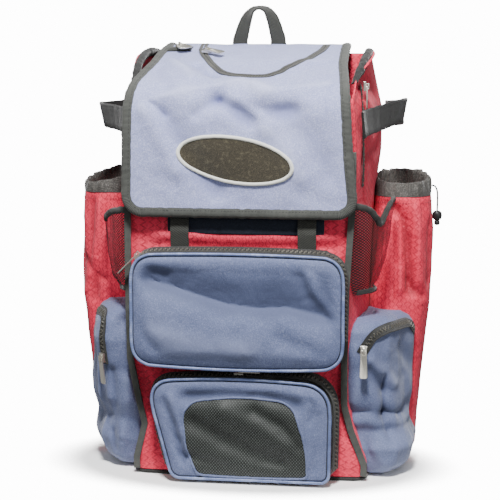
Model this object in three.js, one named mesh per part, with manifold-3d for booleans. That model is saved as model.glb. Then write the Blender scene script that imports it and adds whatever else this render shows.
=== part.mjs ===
// A baseball bat backpack, standing on its base, in millimetres.
// +Z is up, the front faces -Y, and +X is to the right of a viewer in front.
// The origin is the middle of the base.
// Soft walls are hollow shells. Pieces that are sewn together keep a small gap and are trimmed to each other.
import * as THREE from "three";
import Module from "manifold-3d";

const wasm = await Module();
wasm.setup();

// Driving sizes
const GAP = 0.4; // between pieces that touch
const PACK_WIDTH = 314; // front panel at mid height
const PACK_DEPTH = 185; // front panel to back panel
const PACK_HEIGHT = 590; // floor to the top ridge
const PACK_WALL = 3;
const PACK_FRONT = -90;
const BASE_THICKNESS = 5;
const BASE_LIP = 2.5; // how far the base panel stands out past the fabric

const FLAP_THICKNESS = 4;
const FLAP_CREASE = 76; // ridge down to the crease
const FLAP_DROP = 150; // crease to hem
const FLAP_STAND = 14; // how far its front hangs off the front panel
const FLAP_CORNER = 18;
const FLAP_SIDE = 3; // how far the flap's binding overhangs the pack
const BINDING_WIDTH = 12;
const BINDING_THICKNESS = 6.5;
const FRONT_BINDING = { width: 9, thickness: 2.6, overhang: 2.5 };

const POCKET_WALL = 2.2;
const FRONT_POCKET = { width: 285, height: 150, bottom: 166, depth: 42, corner: 34, crown: 8 };
const SHOE_POCKET = { width: 252, height: 135, bottom: 8, depth: 34, corner: 44, crown: 7 };
const MESH_WALL = 1.2;
const PIPING_RADIUS = 2.4;

const ZIP = { width: 20, thickness: 1.2, ridge: 6, proud: 1.4 };
const PULL = { length: 30, width: 12, thickness: 1.8, eye: 6 };
const SLIDER = { length: 13, width: 10, height: 3.2, bridge: 3 };

const SLEEVE = { height: 372, bottom: 9, wall: 2.2, width: 86, depth: 90, centre: 60 };
const SIDES = { left: -1, right: 1 };
const CUFF = { height: 28, wall: 2.4, gathers: 15, depth: 2.6, flare: 1 };
const SIDE_POCKET = { left: 226, right: 218, bottom: 5, reach: 82, wall: 2 };
const MESH_POCKET = { top: 384, bottom: 254, reach: 46 };

const WEBBING = { width: 25, thickness: 2 };
const BAT_STRAP = { width: 36, thickness: 3, height: 489, loop: 56, rise: 14 };
const HANDLE = { width: 25, thickness: 2.2, span: 58, rise: 58, gather: 0.28 };
const PATCH = { width: 162, height: 62, thickness: 2.6, tilt: -8 };

const BACK_PAD = { width: 262, height: 452, bottom: 50, thickness: 13 };
const SHOULDER = { width: 64, thickness: 12, top: 536, bottom: 205, spread: 62, stand: 46 };
const YOKE = { width: 190, height: 34, thickness: 3 };
const CORD = { radius: 1.3, sides: 8, drop: 40, seat: 0.15 }; // it starts inside the cuff's edge
const DROOP = { cuff: 16, strap: 8 }; // how much lower the left side hangs

// Vectors and tables
const vec = (x, y, z) => new THREE.Vector3(x, y, z);
const mix = (a, b, t) => a + (b - a) * t;
const bell = (t) => Math.exp(-t * t);
const arch = (t) => 4 * t * (1 - t);
const wayAt = (points, i) =>
  points[Math.min(i + 1, points.length - 1)].clone().sub(points[Math.max(i - 1, 0)]).normalize();

function rowAt(rows, key, share) {
  const next = rows.findIndex((row) => row.share >= share);
  if (next === 0) return rows[0][key];
  if (next < 0) return rows[rows.length - 1][key];
  const [a, b] = [rows[next - 1], rows[next]];
  return mix(a[key], b[key], (share - a.share) / (b.share - a.share));
}

// Solids
function solidOf(points, faces) {
  const make = (triVerts) =>
    new wasm.Manifold(
      new wasm.Mesh({
        numProp: 3,
        vertProperties: new Float32Array(points.flatMap((p) => [p.x, p.y, p.z])),
        triVerts: new Uint32Array(triVerts),
      }),
    );
  const made = make(faces);
  if (made.volume() > 0) return made;
  const turned = [];
  for (let i = 0; i < faces.length; i += 3) turned.push(faces[i], faces[i + 2], faces[i + 1]);
  return make(turned);
}

// A closed solid through a stack of rings with the same number of points.
// A looped stack joins its last ring to its first.
function skin(rings, looped = false) {
  const count = rings[0].length;
  const points = rings.flat();
  const faces = [];
  for (let r = 0; r < rings.length - (looped ? 0 : 1); r++) {
    const [a, b] = [r * count, ((r + 1) % rings.length) * count];
    for (let i = 0; i < count; i++) {
      const j = (i + 1) % count;
      faces.push(a + i, a + j, b + j, a + i, b + j, b + i);
    }
  }
  if (!looped) {
    [rings[0], rings[rings.length - 1]].forEach((ring, end) => {
      const middle = ring.reduce((sum, p) => sum.add(p), vec(0, 0, 0)).divideScalar(count);
      const start = end ? (rings.length - 1) * count : 0;
      points.push(middle);
      for (let i = 0; i < count; i++) {
        const [p, q] = [start + i, start + ((i + 1) % count)];
        faces.push(points.length - 1, end ? p : q, end ? q : p);
      }
    });
  }
  return solidOf(points, faces);
}

// A plate between two grids of points with the same rows and columns.
function plate(outer, inner) {
  const [rows, columns] = [outer.length, outer[0].length];
  const points = [...outer.flat(), ...inner.flat()];
  const at = (side, r, c) => side * rows * columns + r * columns + c;
  const faces = [];
  const quad = (a, b, c, d) => faces.push(a, b, c, a, c, d);
  for (let r = 0; r < rows - 1; r++)
    for (let c = 0; c < columns - 1; c++) {
      quad(at(0, r, c), at(0, r, c + 1), at(0, r + 1, c + 1), at(0, r + 1, c));
      quad(at(1, r, c), at(1, r + 1, c), at(1, r + 1, c + 1), at(1, r, c + 1));
    }
  for (let r = 0; r < rows - 1; r++) {
    quad(at(0, r, 0), at(0, r + 1, 0), at(1, r + 1, 0), at(1, r, 0));
    quad(at(0, r, columns - 1), at(1, r, columns - 1), at(1, r + 1, columns - 1), at(0, r + 1, columns - 1));
  }
  for (let c = 0; c < columns - 1; c++) {
    quad(at(0, 0, c), at(1, 0, c), at(1, 0, c + 1), at(0, 0, c + 1));
    quad(at(0, rows - 1, c), at(0, rows - 1, c + 1), at(1, rows - 1, c + 1), at(1, rows - 1, c));
  }
  return solidOf(points, faces);
}

// A strap of rectangular section: a row of middles, each with the way its broad face looks.
function ribbon(middles, normals, width, thickness) {
  const rings = middles.map((middle, i) => {
    const along = wayAt(middles, i);
    const across = along.clone().cross(normals[i]).normalize();
    const out = across.clone().cross(along).normalize();
    const half = (typeof width === "function" ? width(i / (middles.length - 1)) : width) / 2;
    return [
      [-half, -thickness / 2],
      [half, -thickness / 2],
      [half, thickness / 2],
      [-half, thickness / 2],
    ].map(([w, t]) => middle.clone().addScaledVector(across, w).addScaledVector(out, t));
  });
  return skin(rings);
}

// A round tube along a row of points, with its section carried along without twist.
function tube(points, radius, sides, looped = false) {
  const count = points.length;
  let side = null;
  const rings = points.map((p, i) => {
    const next = looped ? points[(i + 1) % count] : points[Math.min(i + 1, count - 1)];
    const last = looped ? points[(i + count - 1) % count] : points[Math.max(i - 1, 0)];
    const along = next.clone().sub(last).normalize();
    if (!side) side = Math.abs(along.y) < 0.9 ? vec(0, 1, 0) : vec(1, 0, 0);
    side = side.clone().addScaledVector(along, -side.dot(along)).normalize();
    const up = along.clone().cross(side);
    return Array.from({ length: sides }, (_, k) => {
      const angle = (2 * Math.PI * k) / sides;
      return p
        .clone()
        .addScaledVector(side, radius * Math.cos(angle))
        .addScaledVector(up, radius * Math.sin(angle));
    });
  });
  return skin(rings, looped);
}

// A prism of an outline in X and Z, from one y to another.
const prism = (outline, from, to) => skin([from, to].map((y) => outline.map((p) => vec(p.x, y, p.y))));

// The biggest of the bodies that a trim leaves, so that a shaving is not kept.
const biggest = (solid) => solid.decompose().sort((a, b) => b.volume() - a.volume())[0];

// Outlines: straight edges between rounded corners, each edge bowed out by its bulge.
function outline(corners, steps = 3) {
  const count = corners.length;
  const points = [];
  const cut = (from, to, radius) => {
    const way = to.clone().sub(from);
    return from.clone().addScaledVector(way, Math.min(radius / way.length(), 0.49));
  };
  corners.forEach((corner, i) => {
    const here = new THREE.Vector2(corner.x, corner.y);
    const before = new THREE.Vector2(corners[(i + count - 1) % count].x, corners[(i + count - 1) % count].y);
    const after = new THREE.Vector2(corners[(i + 1) % count].x, corners[(i + 1) % count].y);
    const start = cut(here, before, corner.radius);
    const end = cut(here, after, corner.radius);
    points.push(...new THREE.QuadraticBezierCurve(start, here, end).getPoints(corner.steps ?? steps));
    const next = corners[(i + 1) % count];
    const stop = cut(after, here, next.radius);
    const way = stop.clone().sub(end);
    const out = new THREE.Vector2(way.y, -way.x).normalize();
    const cuts = corner.cuts ?? 1;
    for (let k = 1; k < cuts; k++) {
      const t = k / cuts;
      points.push(end.clone().addScaledVector(way, t).addScaledVector(out, (corner.bulge ?? 0) * arch(t)));
    }
  });
  return points;
}

// An outline moved out by a distance, or in by a negative one.
function offset(points, distance) {
  const count = points.length;
  return points.map((p, i) => {
    const way = points[(i + 1) % count].clone().sub(points[(i + count - 1) % count]);
    return p.clone().add(new THREE.Vector2(way.y, -way.x).normalize().multiplyScalar(distance));
  });
}

const level = (points, z) => points.map((p) => vec(p.x, p.y, z));
const mirror = (rings) => rings.map((ring) => ring.map((p) => vec(-p.x, p.y, p.z)).reverse());

// Main pack: how far each corner stands from the middle up its height, as shares of the driving sizes.
// The soft front sags to the right at the foot, and the left shoulder falls in under the flap.
const packRows = [
  { share: -0.05, frontLeft: 0.95, frontRight: 1.08, backLeft: 1.04, backRight: 1.04, front: 0.96, back: 0.97 },
  { share: 0.0, frontLeft: 0.95, frontRight: 1.09, backLeft: 1.04, backRight: 1.04, front: 0.97, back: 0.98 },
  { share: 0.04, frontLeft: 0.95, frontRight: 1.1, backLeft: 1.05, backRight: 1.06, front: 1.0, back: 1.0 },
  { share: 0.12, frontLeft: 0.88, frontRight: 0.98, backLeft: 1.06, backRight: 1.07, front: 0.96, back: 1.0 },
  { share: 0.18, frontLeft: 0.93, frontRight: 0.92, backLeft: 1.08, backRight: 1.08, front: 0.97, back: 1.0 },
  { share: 0.28, frontLeft: 1.0, frontRight: 0.92, backLeft: 1.09, backRight: 1.09, front: 1.0, back: 1.0 },
  { share: 0.45, frontLeft: 1.01, frontRight: 0.93, backLeft: 1.1, backRight: 1.1, front: 1.0, back: 1.0 },
  { share: 0.66, frontLeft: 1.01, frontRight: 0.98, backLeft: 1.12, backRight: 1.13, front: 1.0, back: 1.0 },
  { share: 0.76, frontLeft: 1.0, frontRight: 0.98, backLeft: 1.14, backRight: 1.19, front: 1.0, back: 1.0 },
  { share: 0.86, frontLeft: 0.97, frontRight: 0.96, backLeft: 1.1, backRight: 1.19, front: 0.99, back: 1.0 },
  { share: 0.94, frontLeft: 0.92, frontRight: 0.92, backLeft: 0.98, backRight: 1.12, front: 0.97, back: 1.0 },
  { share: 1.04, frontLeft: 0.83, frontRight: 0.87, backLeft: 0.84, backRight: 1.04, front: 0.95, back: 1.0 },
];
const PACK_BACK = PACK_FRONT + PACK_DEPTH;
const PACK_BULGE = { front: 4, side: 6, back: 2 };
const PACK_CORNER = { front: 9, back: 34 };

function packOutline(z) {
  const share = z / PACK_HEIGHT;
  const at = (key) => (PACK_WIDTH / 2) * rowAt(packRows, key, share);
  const middle = (PACK_FRONT + PACK_BACK) / 2;
  const front = mix(middle, PACK_FRONT, rowAt(packRows, "front", share));
  const back = mix(middle, PACK_BACK, rowAt(packRows, "back", share));
  const corner = (x, y, radius, cuts, bulge, steps) => ({ x, y, radius, cuts, bulge, steps });
  return outline([
    corner(-at("frontLeft"), front, PACK_CORNER.front, 6, PACK_BULGE.front, 2),
    corner(at("frontRight"), front, PACK_CORNER.front, 3, PACK_BULGE.side, 2),
    corner(at("backRight"), back, PACK_CORNER.back, 3, PACK_BULGE.back, 3),
    corner(-at("backLeft"), back, PACK_CORNER.back, 3, PACK_BULGE.side, 3),
  ]);
}

// How far the pack's front stands at an x, and how far out its side stands at a y
function packEdge(z, along, value, far) {
  const points = packOutline(z);
  const found = points.flatMap((p, i) => {
    const q = points[(i + 1) % points.length];
    const t = (value - p[along]) / (q[along] - p[along]);
    return t >= 0 && t <= 1 ? [far(p.clone().lerp(q, t))] : [];
  });
  return Math.max(...found);
}
const frontAt = (x, z) => -packEdge(z, "x", x, (p) => -p.y);
const sideAt = (y, z, side) => packEdge(z, "y", y, (p) => side * p.x);

// The heights between two limits at which the pack's sections are listed
const packHeights = (from, to) => [
  from,
  ...packRows.map((row) => row.share * PACK_HEIGHT).filter((z) => z > from + 2 && z < to - 2),
  to,
];
const packSkin = (grow, from, to) =>
  skin(packHeights(from, to).map((z) => level(offset(packOutline(z), grow), z)));
const packEnvelope = packSkin(GAP, -10, PACK_HEIGHT + 20);

// The flap's middle line from the ridge over the top and down the front, as y and z
const CREASE_HEIGHT = PACK_HEIGHT - FLAP_CREASE;
const FLAP_FRONT = PACK_FRONT - FLAP_STAND;
const overTop = (back, fall) => vec(0, mix(PACK_BACK, PACK_FRONT, back), PACK_HEIGHT - FLAP_CREASE * fall);
const downFront = (stand, fall) => vec(0, PACK_FRONT - FLAP_STAND * stand, CREASE_HEIGHT - FLAP_DROP * fall);
const flapLine = new THREE.CatmullRomCurve3(
  [
    overTop(-0.005, 0),
    overTop(0.243, 0.105),
    overTop(0.54, 0.303),
    overTop(0.859, 0.579),
    overTop(1.016, 0.789),
    downFront(0.93, 0.04),
    downFront(1.14, 0.5),
    downFront(1, 1),
  ],
  false,
  "centripetal",
);
const flapRows = [
  { share: 0.0, half: 0.84, shift: 0, crown: 0 },
  { share: 0.3, half: 0.87, shift: -0.01, crown: 6 },
  { share: 0.5, half: 0.94, shift: -0.03, crown: 5 },
  { share: 0.6, half: 0.965, shift: -0.03, crown: 2 },
  { share: 0.8, half: 0.985, shift: -0.02, crown: 1 },
  { share: 1.0, half: 1.015, shift: 0, crown: 0 },
];
// Dents and ridges of the cloth: place across and how wide as shares of the half width,
// place down and how long as shares of the length
const flapFolds = [
  { across: -0.2, down: 0.57, wide: 0.13, long: 0.05, depth: -5 },
  { across: -0.02, down: 0.62, wide: 0.2, long: 0.07, depth: 3 },
  { across: -0.72, down: 0.56, wide: 0.14, long: 0.04, depth: -5 },
  { across: 0.76, down: 0.5, wide: 0.14, long: 0.035, depth: -5 },
  { across: -0.45, down: 0.72, wide: 0.12, long: 0.12, depth: -3 },
  { across: 0.4, down: 0.7, wide: 0.22, long: 0.08, depth: -3 },
];
const flapHalf = (share) => (PACK_WIDTH / 2) * rowAt(flapRows, "half", share) + FLAP_SIDE;
const flapShift = (share) => (PACK_WIDTH / 2) * rowAt(flapRows, "shift", share);

// A point and the outward way on the flap's outer face; lift moves it off the face.
function onFlap(x, share, lift = 0) {
  const s = Math.min(Math.max(share, 0), 1);
  const middle = flapLine.getPointAt(s);
  const along = flapLine.getTangentAt(s);
  const out = vec(0, along.z, -along.y);
  const across = x / flapHalf(s);
  const folds = flapFolds.reduce((sum, fold) => {
    const near = bell((across - fold.across) / fold.wide) * bell((s - fold.down) / fold.long);
    return sum + fold.depth * near;
  }, 0);
  const crown = rowAt(flapRows, "crown", s);
  const rise = crown * Math.max(0, 1 - across * across) + folds * Math.max(0, 1 - across ** 4);
  const point = vec(x + flapShift(s), middle.y, middle.z).addScaledVector(out, FLAP_THICKNESS + rise + lift);
  return { point, out };
}

function flapGrid(lift, rows = 16, columns = 14) {
  const corner = FLAP_CORNER;
  const length = flapLine.getLength() - BINDING_WIDTH;
  const straight = Array.from({ length: rows + 1 }, (_, r) => ((length - corner) * r) / rows);
  const turned = [0.3, 0.55, 0.76, 0.92, 1].map((part) => length - corner * (1 - part));
  return [...straight, ...turned].map((down) => {
    const share = down / flapLine.getLength();
    const fromHem = length - down;
    const round = fromHem < corner ? corner - Math.sqrt(corner ** 2 - (corner - fromHem) ** 2) : 0;
    const half = flapHalf(share) - BINDING_WIDTH - round;
    const across = Array.from({ length: columns + 1 }, (_, c) => mix(-half, half, c / columns));
    return across.map((x) => onFlap(x, share, lift).point);
  });
}
const flapEnvelope = plate(flapGrid(GAP), flapGrid(-FLAP_THICKNESS - GAP));

// The binding on the flap's edge, from the ridge down one side, round the hem and up the other
function buildFlapBinding() {
  const edge = (grid) => [
    ...grid.map((row) => row[0]),
    ...grid[grid.length - 1].slice(1, -1),
    ...grid.map((row) => row[row.length - 1]).reverse(),
  ];
  const [top, under] = [edge(flapGrid(0)), edge(flapGrid(-FLAP_THICKNESS))];
  const rings = top.map((p, i) => {
    const out = p.clone().sub(under[i]).normalize();
    const next = top[Math.min(i + 1, top.length - 1)];
    const last = top[Math.max(i - 1, 0)];
    const across = next.clone().sub(last).cross(out).normalize();
    const [near, far] = [GAP * 2, BINDING_WIDTH];
    const [low, high] = [-FLAP_THICKNESS - 0.6, BINDING_THICKNESS - FLAP_THICKNESS - 0.6];
    return [
      [near, low],
      [far * 0.85, low],
      [far, mix(low, high, 0.5)],
      [far * 0.85, high],
      [near, high],
    ].map(([w, t]) => p.clone().addScaledVector(across, w).addScaledVector(out, t));
  });
  return skin(rings);
}

// The pack without its mouth: everything below the flap's middle line.
function packMouth() {
  const steps = 14;
  const under = Array.from({ length: steps + 1 }, (_, i) => {
    const p = flapLine.getPointAt((0.56 * i) / steps);
    return new THREE.Vector2(p.y, p.z - GAP - 1);
  });
  const last = under[steps];
  const ridge = under[0];
  const shape = [
    new THREE.Vector2(ridge.x + 60, ridge.y),
    ...under,
    new THREE.Vector2(last.x - 60, last.y - 20),
    new THREE.Vector2(last.x - 60, ridge.y + 90),
    new THREE.Vector2(ridge.x + 60, ridge.y + 90),
  ];
  const reach = PACK_WIDTH;
  return skin([-reach, reach].map((x) => shape.map((p) => vec(x, p.x, p.y))));
}
const FLOOR = BASE_THICKNESS + GAP;
const mouth = packMouth();

function buildPackBody() {
  const outer = packSkin(0, FLOOR, PACK_HEIGHT + 12);
  const inner = packSkin(-PACK_WALL, FLOOR + PACK_WALL, PACK_HEIGHT + 20);
  return outer.subtract(inner).subtract(mouth);
}

function buildBasePanel() {
  const foot = packOutline(0);
  return skin([
    level(offset(foot, BASE_LIP - 1.5), 0),
    level(offset(foot, BASE_LIP), 1.5),
    level(offset(foot, BASE_LIP), BASE_THICKNESS - 1),
    level(offset(foot, BASE_LIP - 1), BASE_THICKNESS),
  ]);
}

// Pouches on the front: an outline in X and Z, and rings from the pack out to a crowned face
function frontOutline(pouch, grow = 0) {
  const half = pouch.width / 2 + grow;
  const [low, high] = [pouch.bottom - grow, pouch.bottom + pouch.height + grow];
  const pinch = pouch.pinch ?? { left: 0, right: 0, waist: 0 };
  const corner = pouch.corner + grow;
  const foot = pouch.foot ?? corner;
  const points = outline(
    [
      { x: -half + pinch.left, y: low, radius: foot, cuts: 4, bulge: pouch.sag ?? 2, steps: 4 },
      { x: half - pinch.right, y: low, radius: foot, cuts: 3, bulge: 0, steps: 4 },
      { x: half, y: high, radius: corner, cuts: 4, bulge: pouch.rise ?? 2, steps: 4 },
      { x: -half, y: high, radius: corner, cuts: 3, bulge: 0, steps: 4 },
    ],
    4,
  );
  return points;
}

// How deep a pouch's face is folded in at a place on it
function pouchFold(pouch, at) {
  const [across, up] = [at.x / pouch.width, (at.y - pouch.bottom) / pouch.height];
  return (pouch.folds ?? []).reduce(
    (sum, f) => sum + f.depth * bell((across - f.x) / f.wide) * bell((up - f.z) / f.high),
    0,
  );
}

function pouchSkin(pouch, inset, back) {
  const face = PACK_FRONT - PACK_BULGE.front - pouch.depth;
  const middle = new THREE.Vector2(0, pouch.bottom + pouch.height / 2);
  const rings = [
    { y: back, inset: 0, scale: 1 },
    { y: face + 4, inset: 0, scale: 1 },
    { y: face, inset: 3, scale: 1 },
    { y: face - pouch.crown * 0.55, inset: 3, scale: 0.76 },
    { y: face - pouch.crown, inset: 3, scale: 0.4 },
  ];
  return skin(
    rings.map((ring, i) =>
      offset(frontOutline(pouch), -ring.inset - inset).map((at) => {
        const p = at.sub(middle).multiplyScalar(ring.scale).add(middle);
        return vec(p.x, ring.y + (i ? inset : 0) - (i > 1 ? pouchFold(pouch, p) : 0), p.y);
      }),
    ),
  );
}

function buildPouch(pouch) {
  const outer = pouchSkin(pouch, 0, PACK_FRONT + 20);
  const inner = pouchSkin(pouch, POCKET_WALL, PACK_FRONT + 40);
  const bindings = Object.values(SIDES).map((side) => buildFrontBinding(side, GAP));
  const shell = outer.subtract(inner).subtract(packEnvelope);
  return biggest(bindings.reduce((left, binding) => left.subtract(binding), shell));
}

// A bulge line at the top of the face and slack folds near the foot, as shares of the pouch
const frontPouch = {
  ...FRONT_POCKET,
  sag: 3,
  folds: [
    { x: 0.1, z: 0.72, wide: 0.35, high: 0.18, depth: -4 },
    { x: 0.42, z: 0.45, wide: 0.08, high: 0.3, depth: -3 },
    { x: -0.4, z: 0.25, wide: 0.12, high: 0.12, depth: -2.5 },
  ],
};
const shoePouch = {
  ...SHOE_POCKET,
  foot: 12,
  rise: 3,
  sag: 0,
  pinch: { left: 36, right: 2 },
  folds: [
    { x: -0.42, z: 0.35, wide: 0.1, high: 0.3, depth: -6 },
    { x: 0.05, z: 0.3, wide: 0.25, high: 0.25, depth: 5 },
    { x: 0.34, z: 0.85, wide: 0.1, high: 0.12, depth: 4 },
  ],
};
const shoeWindow = [
  { x: -0.22, y: 0.085, radius: 8 },
  { x: 0.385, y: 0.085, radius: 8 },
  { x: 0.31, y: 0.82, radius: 34 },
  { x: -0.33, y: 0.8, radius: 46 },
];
const shoeWindowOutline = (grow) =>
  offset(
    outline(
      shoeWindow.map((c) => ({
        x: c.x * SHOE_POCKET.width,
        y: SHOE_POCKET.bottom + c.y * SHOE_POCKET.height,
        radius: c.radius,
        cuts: 3,
        bulge: 3,
      })),
      4,
    ),
    grow,
  );

// A bead round a pouch's face, just outside its wall
function buildPiping(pouch) {
  const y = PACK_FRONT - PACK_BULGE.front - pouch.depth + 3.5;
  const path = frontOutline(pouch, PIPING_RADIUS + GAP).map((p) => vec(p.x, y, p.y));
  return tube(path, PIPING_RADIUS, 6, true);
}

// A zip's tape and its ridge of teeth round the top and sides of a pouch, above a cut height
function buildPouchZip(pouch, cutHeight) {
  const back = PACK_FRONT - PACK_BULGE.front - 5;
  const hollow = frontOutline(pouch, GAP);
  const band = (grow, from, to) => prism(frontOutline(pouch, GAP + grow), from, to);
  const tape = band(ZIP.thickness, back, back - ZIP.width);
  const middle = back - ZIP.width / 2;
  const teeth = band(ZIP.thickness + ZIP.proud, middle + ZIP.ridge / 2, middle - ZIP.ridge / 2);
  const below = skin(
    [-60, 0].map((dy) =>
      [
        [-400, -400],
        [400, -400],
        [400, cutHeight],
        [-400, cutHeight],
      ].map(([x, z]) => vec(x, back + 20 + dy, z)),
    ),
  );
  return tape.add(teeth).subtract(prism(hollow, back + 10, back - 60)).subtract(below).subtract(packEnvelope);
}

// Bat sleeves: a tube on each side with its flat side against the pack
const sleeveRows = [
  { share: 0.0, width: 0.7, depth: 0.86, back: 0 },
  { share: 0.05, width: 0.8, depth: 0.94, back: 0 },
  { share: 0.3, width: 0.9, depth: 1.0, back: 0 },
  { share: 0.6, width: 1.0, depth: 1.0, back: 2 },
  { share: 0.85, width: 0.98, depth: 0.98, back: 2 },
  { share: 1.0, width: 0.92, depth: 0.94, back: 3 },
];
// Long creases of the sleeve: place round as a share of a turn, from the pack's side
const sleeveFolds = [
  { turn: 0.7, wide: 0.035, depth: -5, low: 0.5, high: 1.0 },
  { turn: 0.62, wide: 0.03, depth: 3, low: 0.4, high: 0.9 },
  { turn: 0.3, wide: 0.04, depth: -4, low: 0.2, high: 0.9 },
];
const SLEEVE_TOP = SLEEVE.bottom + SLEEVE.height;

function sleeveRing(z, grow, side, sides = 24) {
  const share = (z - SLEEVE.bottom) / SLEEVE.height;
  const halfDepth = (SLEEVE.depth / 2) * rowAt(sleeveRows, "depth", share);
  const width = SLEEVE.width * rowAt(sleeveRows, "width", share);
  const centreY = SLEEVE.centre + rowAt(sleeveRows, "back", share);
  return Array.from({ length: sides }, (_, i) => {
    const turn = i / sides;
    const angle = Math.PI + 2 * Math.PI * turn;
    const fold = sleeveFolds.reduce((sum, f) => {
      const rise = (share - f.low) / (f.high - f.low);
      return sum + (rise > 0 && rise < 1 ? f.depth * arch(rise) * bell((turn - f.turn) / f.wide) : 0);
    }, 0);
    const y = centreY + (halfDepth + grow + fold) * Math.sin(angle);
    const beside = THREE.MathUtils.clamp(y, PACK_FRONT + 12, PACK_BACK - 12);
    const wall = sideAt(beside, Math.max(z, FLOOR), side) + GAP * 2 - grow;
    const middle = wall + width / 2 + grow;
    const squared = Math.sign(Math.cos(angle)) * Math.abs(Math.cos(angle)) ** 0.72;
    return vec(middle + (width / 2 + grow + fold) * squared, y, z);
  });
}
const sleeveShares = [0, 0.04, 0.15, 0.3, 0.45, 0.6, 0.75, 0.88, 1];
const sleeveHeights = sleeveShares.map((share) => SLEEVE.bottom + share * SLEEVE.height);
const turned = (rings, side) => (side < 0 ? mirror(rings) : rings);
function sleeveSkin(grow, from, to, side) {
  const heights = [from, ...sleeveHeights.filter((z) => z > from + 1 && z < to - 1), to];
  const ringAt = (z) => sleeveRing(Math.min(z, SLEEVE_TOP), grow, side);
  const rings = heights.map((z) => ringAt(z).map((p) => vec(p.x, p.y, z)));
  return skin(turned(rings, side));
}

function buildSleeve(side) {
  const outer = sleeveSkin(0, SLEEVE.bottom, SLEEVE_TOP, side);
  const inner = sleeveSkin(-SLEEVE.wall, SLEEVE.bottom + SLEEVE.wall, SLEEVE_TOP + 10, side);
  return biggest(outer.subtract(inner).subtract(packEnvelope));
}

// The gathered cuff on a sleeve: a looped section whose top edge is drawn into gathers
function buildCuff(side, droop) {
  const sides = CUFF.gathers * 3;
  const section = [
    { rise: 0.0, out: 0, gather: 0 },
    { rise: 0.55, out: CUFF.flare, gather: 0.35 },
    { rise: 0.92, out: 0.5, gather: 1 },
    { rise: 1.0, out: -1.5, gather: 1.2 },
    { rise: 0.93, out: -3.5, gather: 1 },
    { rise: 0.45, out: -CUFF.wall, gather: 0.5 },
    { rise: 0.0, out: -CUFF.wall, gather: 0 },
  ];
  const base = SLEEVE_TOP + GAP;
  const rings = section.map((row) => {
    const ring = sleeveRing(SLEEVE_TOP, row.out, side, sides);
    const middle = ring.reduce((sum, p) => sum.add(p), vec(0, 0, 0)).divideScalar(sides);
    return ring.map((p, i) => {
      const turn = (2 * Math.PI * CUFF.gathers * i) / sides + side;
      const draw = 1 - (CUFF.depth * row.gather * (1 + Math.sin(turn))) / 50;
      const slope = (0.16 * (p.y - SLEEVE.centre) - (droop * (p.x - middle.x)) / SLEEVE.width) * row.rise;
      return vec(
        middle.x + (p.x - middle.x) * draw,
        middle.y + (p.y - middle.y) * draw,
        base + CUFF.height * row.rise + slope + row.gather * 0.8 * Math.sin(turn),
      );
    });
  });
  return biggest(skin(turned(rings, side), true).subtract(packEnvelope));
}

// Side pockets: a slack pouch in the corner between the pack's side and the sleeve
const sidePocketRows = {
  right: [
    { share: 0.0, corner: 0.34, reach: 0.62, front: 0.84 },
    { share: 0.05, corner: 0.46, reach: 0.76, front: 0.9 },
    { share: 0.17, corner: 0.56, reach: 0.96, front: 0.96 },
    { share: 0.28, corner: 0.36, reach: 0.98, front: 0.88 },
    { share: 0.4, corner: 0.48, reach: 1.02, front: 0.92 },
    { share: 0.6, corner: 0.34, reach: 1.02, front: 0.95 },
    { share: 0.8, corner: 0.32, reach: 1.04, front: 0.98 },
    { share: 0.92, corner: 0.34, reach: 1.02, front: 0.95 },
    { share: 0.98, corner: 0.34, reach: 0.92, front: 0.84 },
    { share: 1.0, corner: 0.3, reach: 0.76, front: 0.7 },
  ],
  left: [
    { share: 0.0, corner: 0.3, reach: 0.6, front: 0.82 },
    { share: 0.05, corner: 0.4, reach: 0.7, front: 0.9 },
    { share: 0.17, corner: 0.5, reach: 0.9, front: 0.95 },
    { share: 0.3, corner: 0.44, reach: 0.93, front: 0.9 },
    { share: 0.42, corner: 0.5, reach: 0.93, front: 0.96 },
    { share: 0.6, corner: 0.44, reach: 0.92, front: 0.93 },
    { share: 0.8, corner: 0.46, reach: 0.87, front: 0.95 },
    { share: 0.92, corner: 0.42, reach: 0.8, front: 0.88 },
    { share: 0.98, corner: 0.38, reach: 0.7, front: 0.76 },
    { share: 1.0, corner: 0.3, reach: 0.56, front: 0.6 },
  ],
};
const SIDE_POCKET_FRONT = PACK_FRONT + 8;

function sidePocketRings(sideName, inset, from = 0) {
  const side = SIDES[sideName];
  return sidePocketRows[sideName].map((row) => {
    const z = SIDE_POCKET.bottom + SIDE_POCKET[sideName] * row.share;
    const wall = sideAt(SIDE_POCKET_FRONT + 20, z, side);
    const front = mix(SLEEVE.centre - 20, SIDE_POCKET_FRONT, row.front);
    const reach = wall + SIDE_POCKET.reach * row.reach;
    const hidden = SLEEVE.centre + 5;
    const corner = (x, y, radius, cuts, bulge, steps) => ({ x, y, radius, cuts, bulge, steps });
    const loop = outline([
      corner(wall - 26 - from, front, 3, 2, 0, 1),
      corner(wall + SIDE_POCKET.reach * row.corner, front, 14, 3, 5, 4),
      corner(reach, mix(front, SLEEVE.centre - 40, 0.85), 24, 2, 2, 4),
      corner(mix(wall, reach, 0.9), hidden + from, 10, 2, 0, 2),
      corner(wall - 26 - from, hidden + from, 3, 2, 0, 1),
    ]);
    return level(offset(loop, -inset), z + inset * (1 - 2 * row.share));
  });
}

function buildSidePocket(sideName) {
  const side = SIDES[sideName];
  const outer = skin(turned(sidePocketRings(sideName, 0), side));
  const inner = skin(turned(sidePocketRings(sideName, SIDE_POCKET.wall, 20), side));
  const sleeve = sleeveSkin(GAP, SLEEVE.bottom - GAP, SLEEVE_TOP, side);
  return biggest(outer.subtract(inner).subtract(packEnvelope).subtract(sleeve));
}

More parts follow.
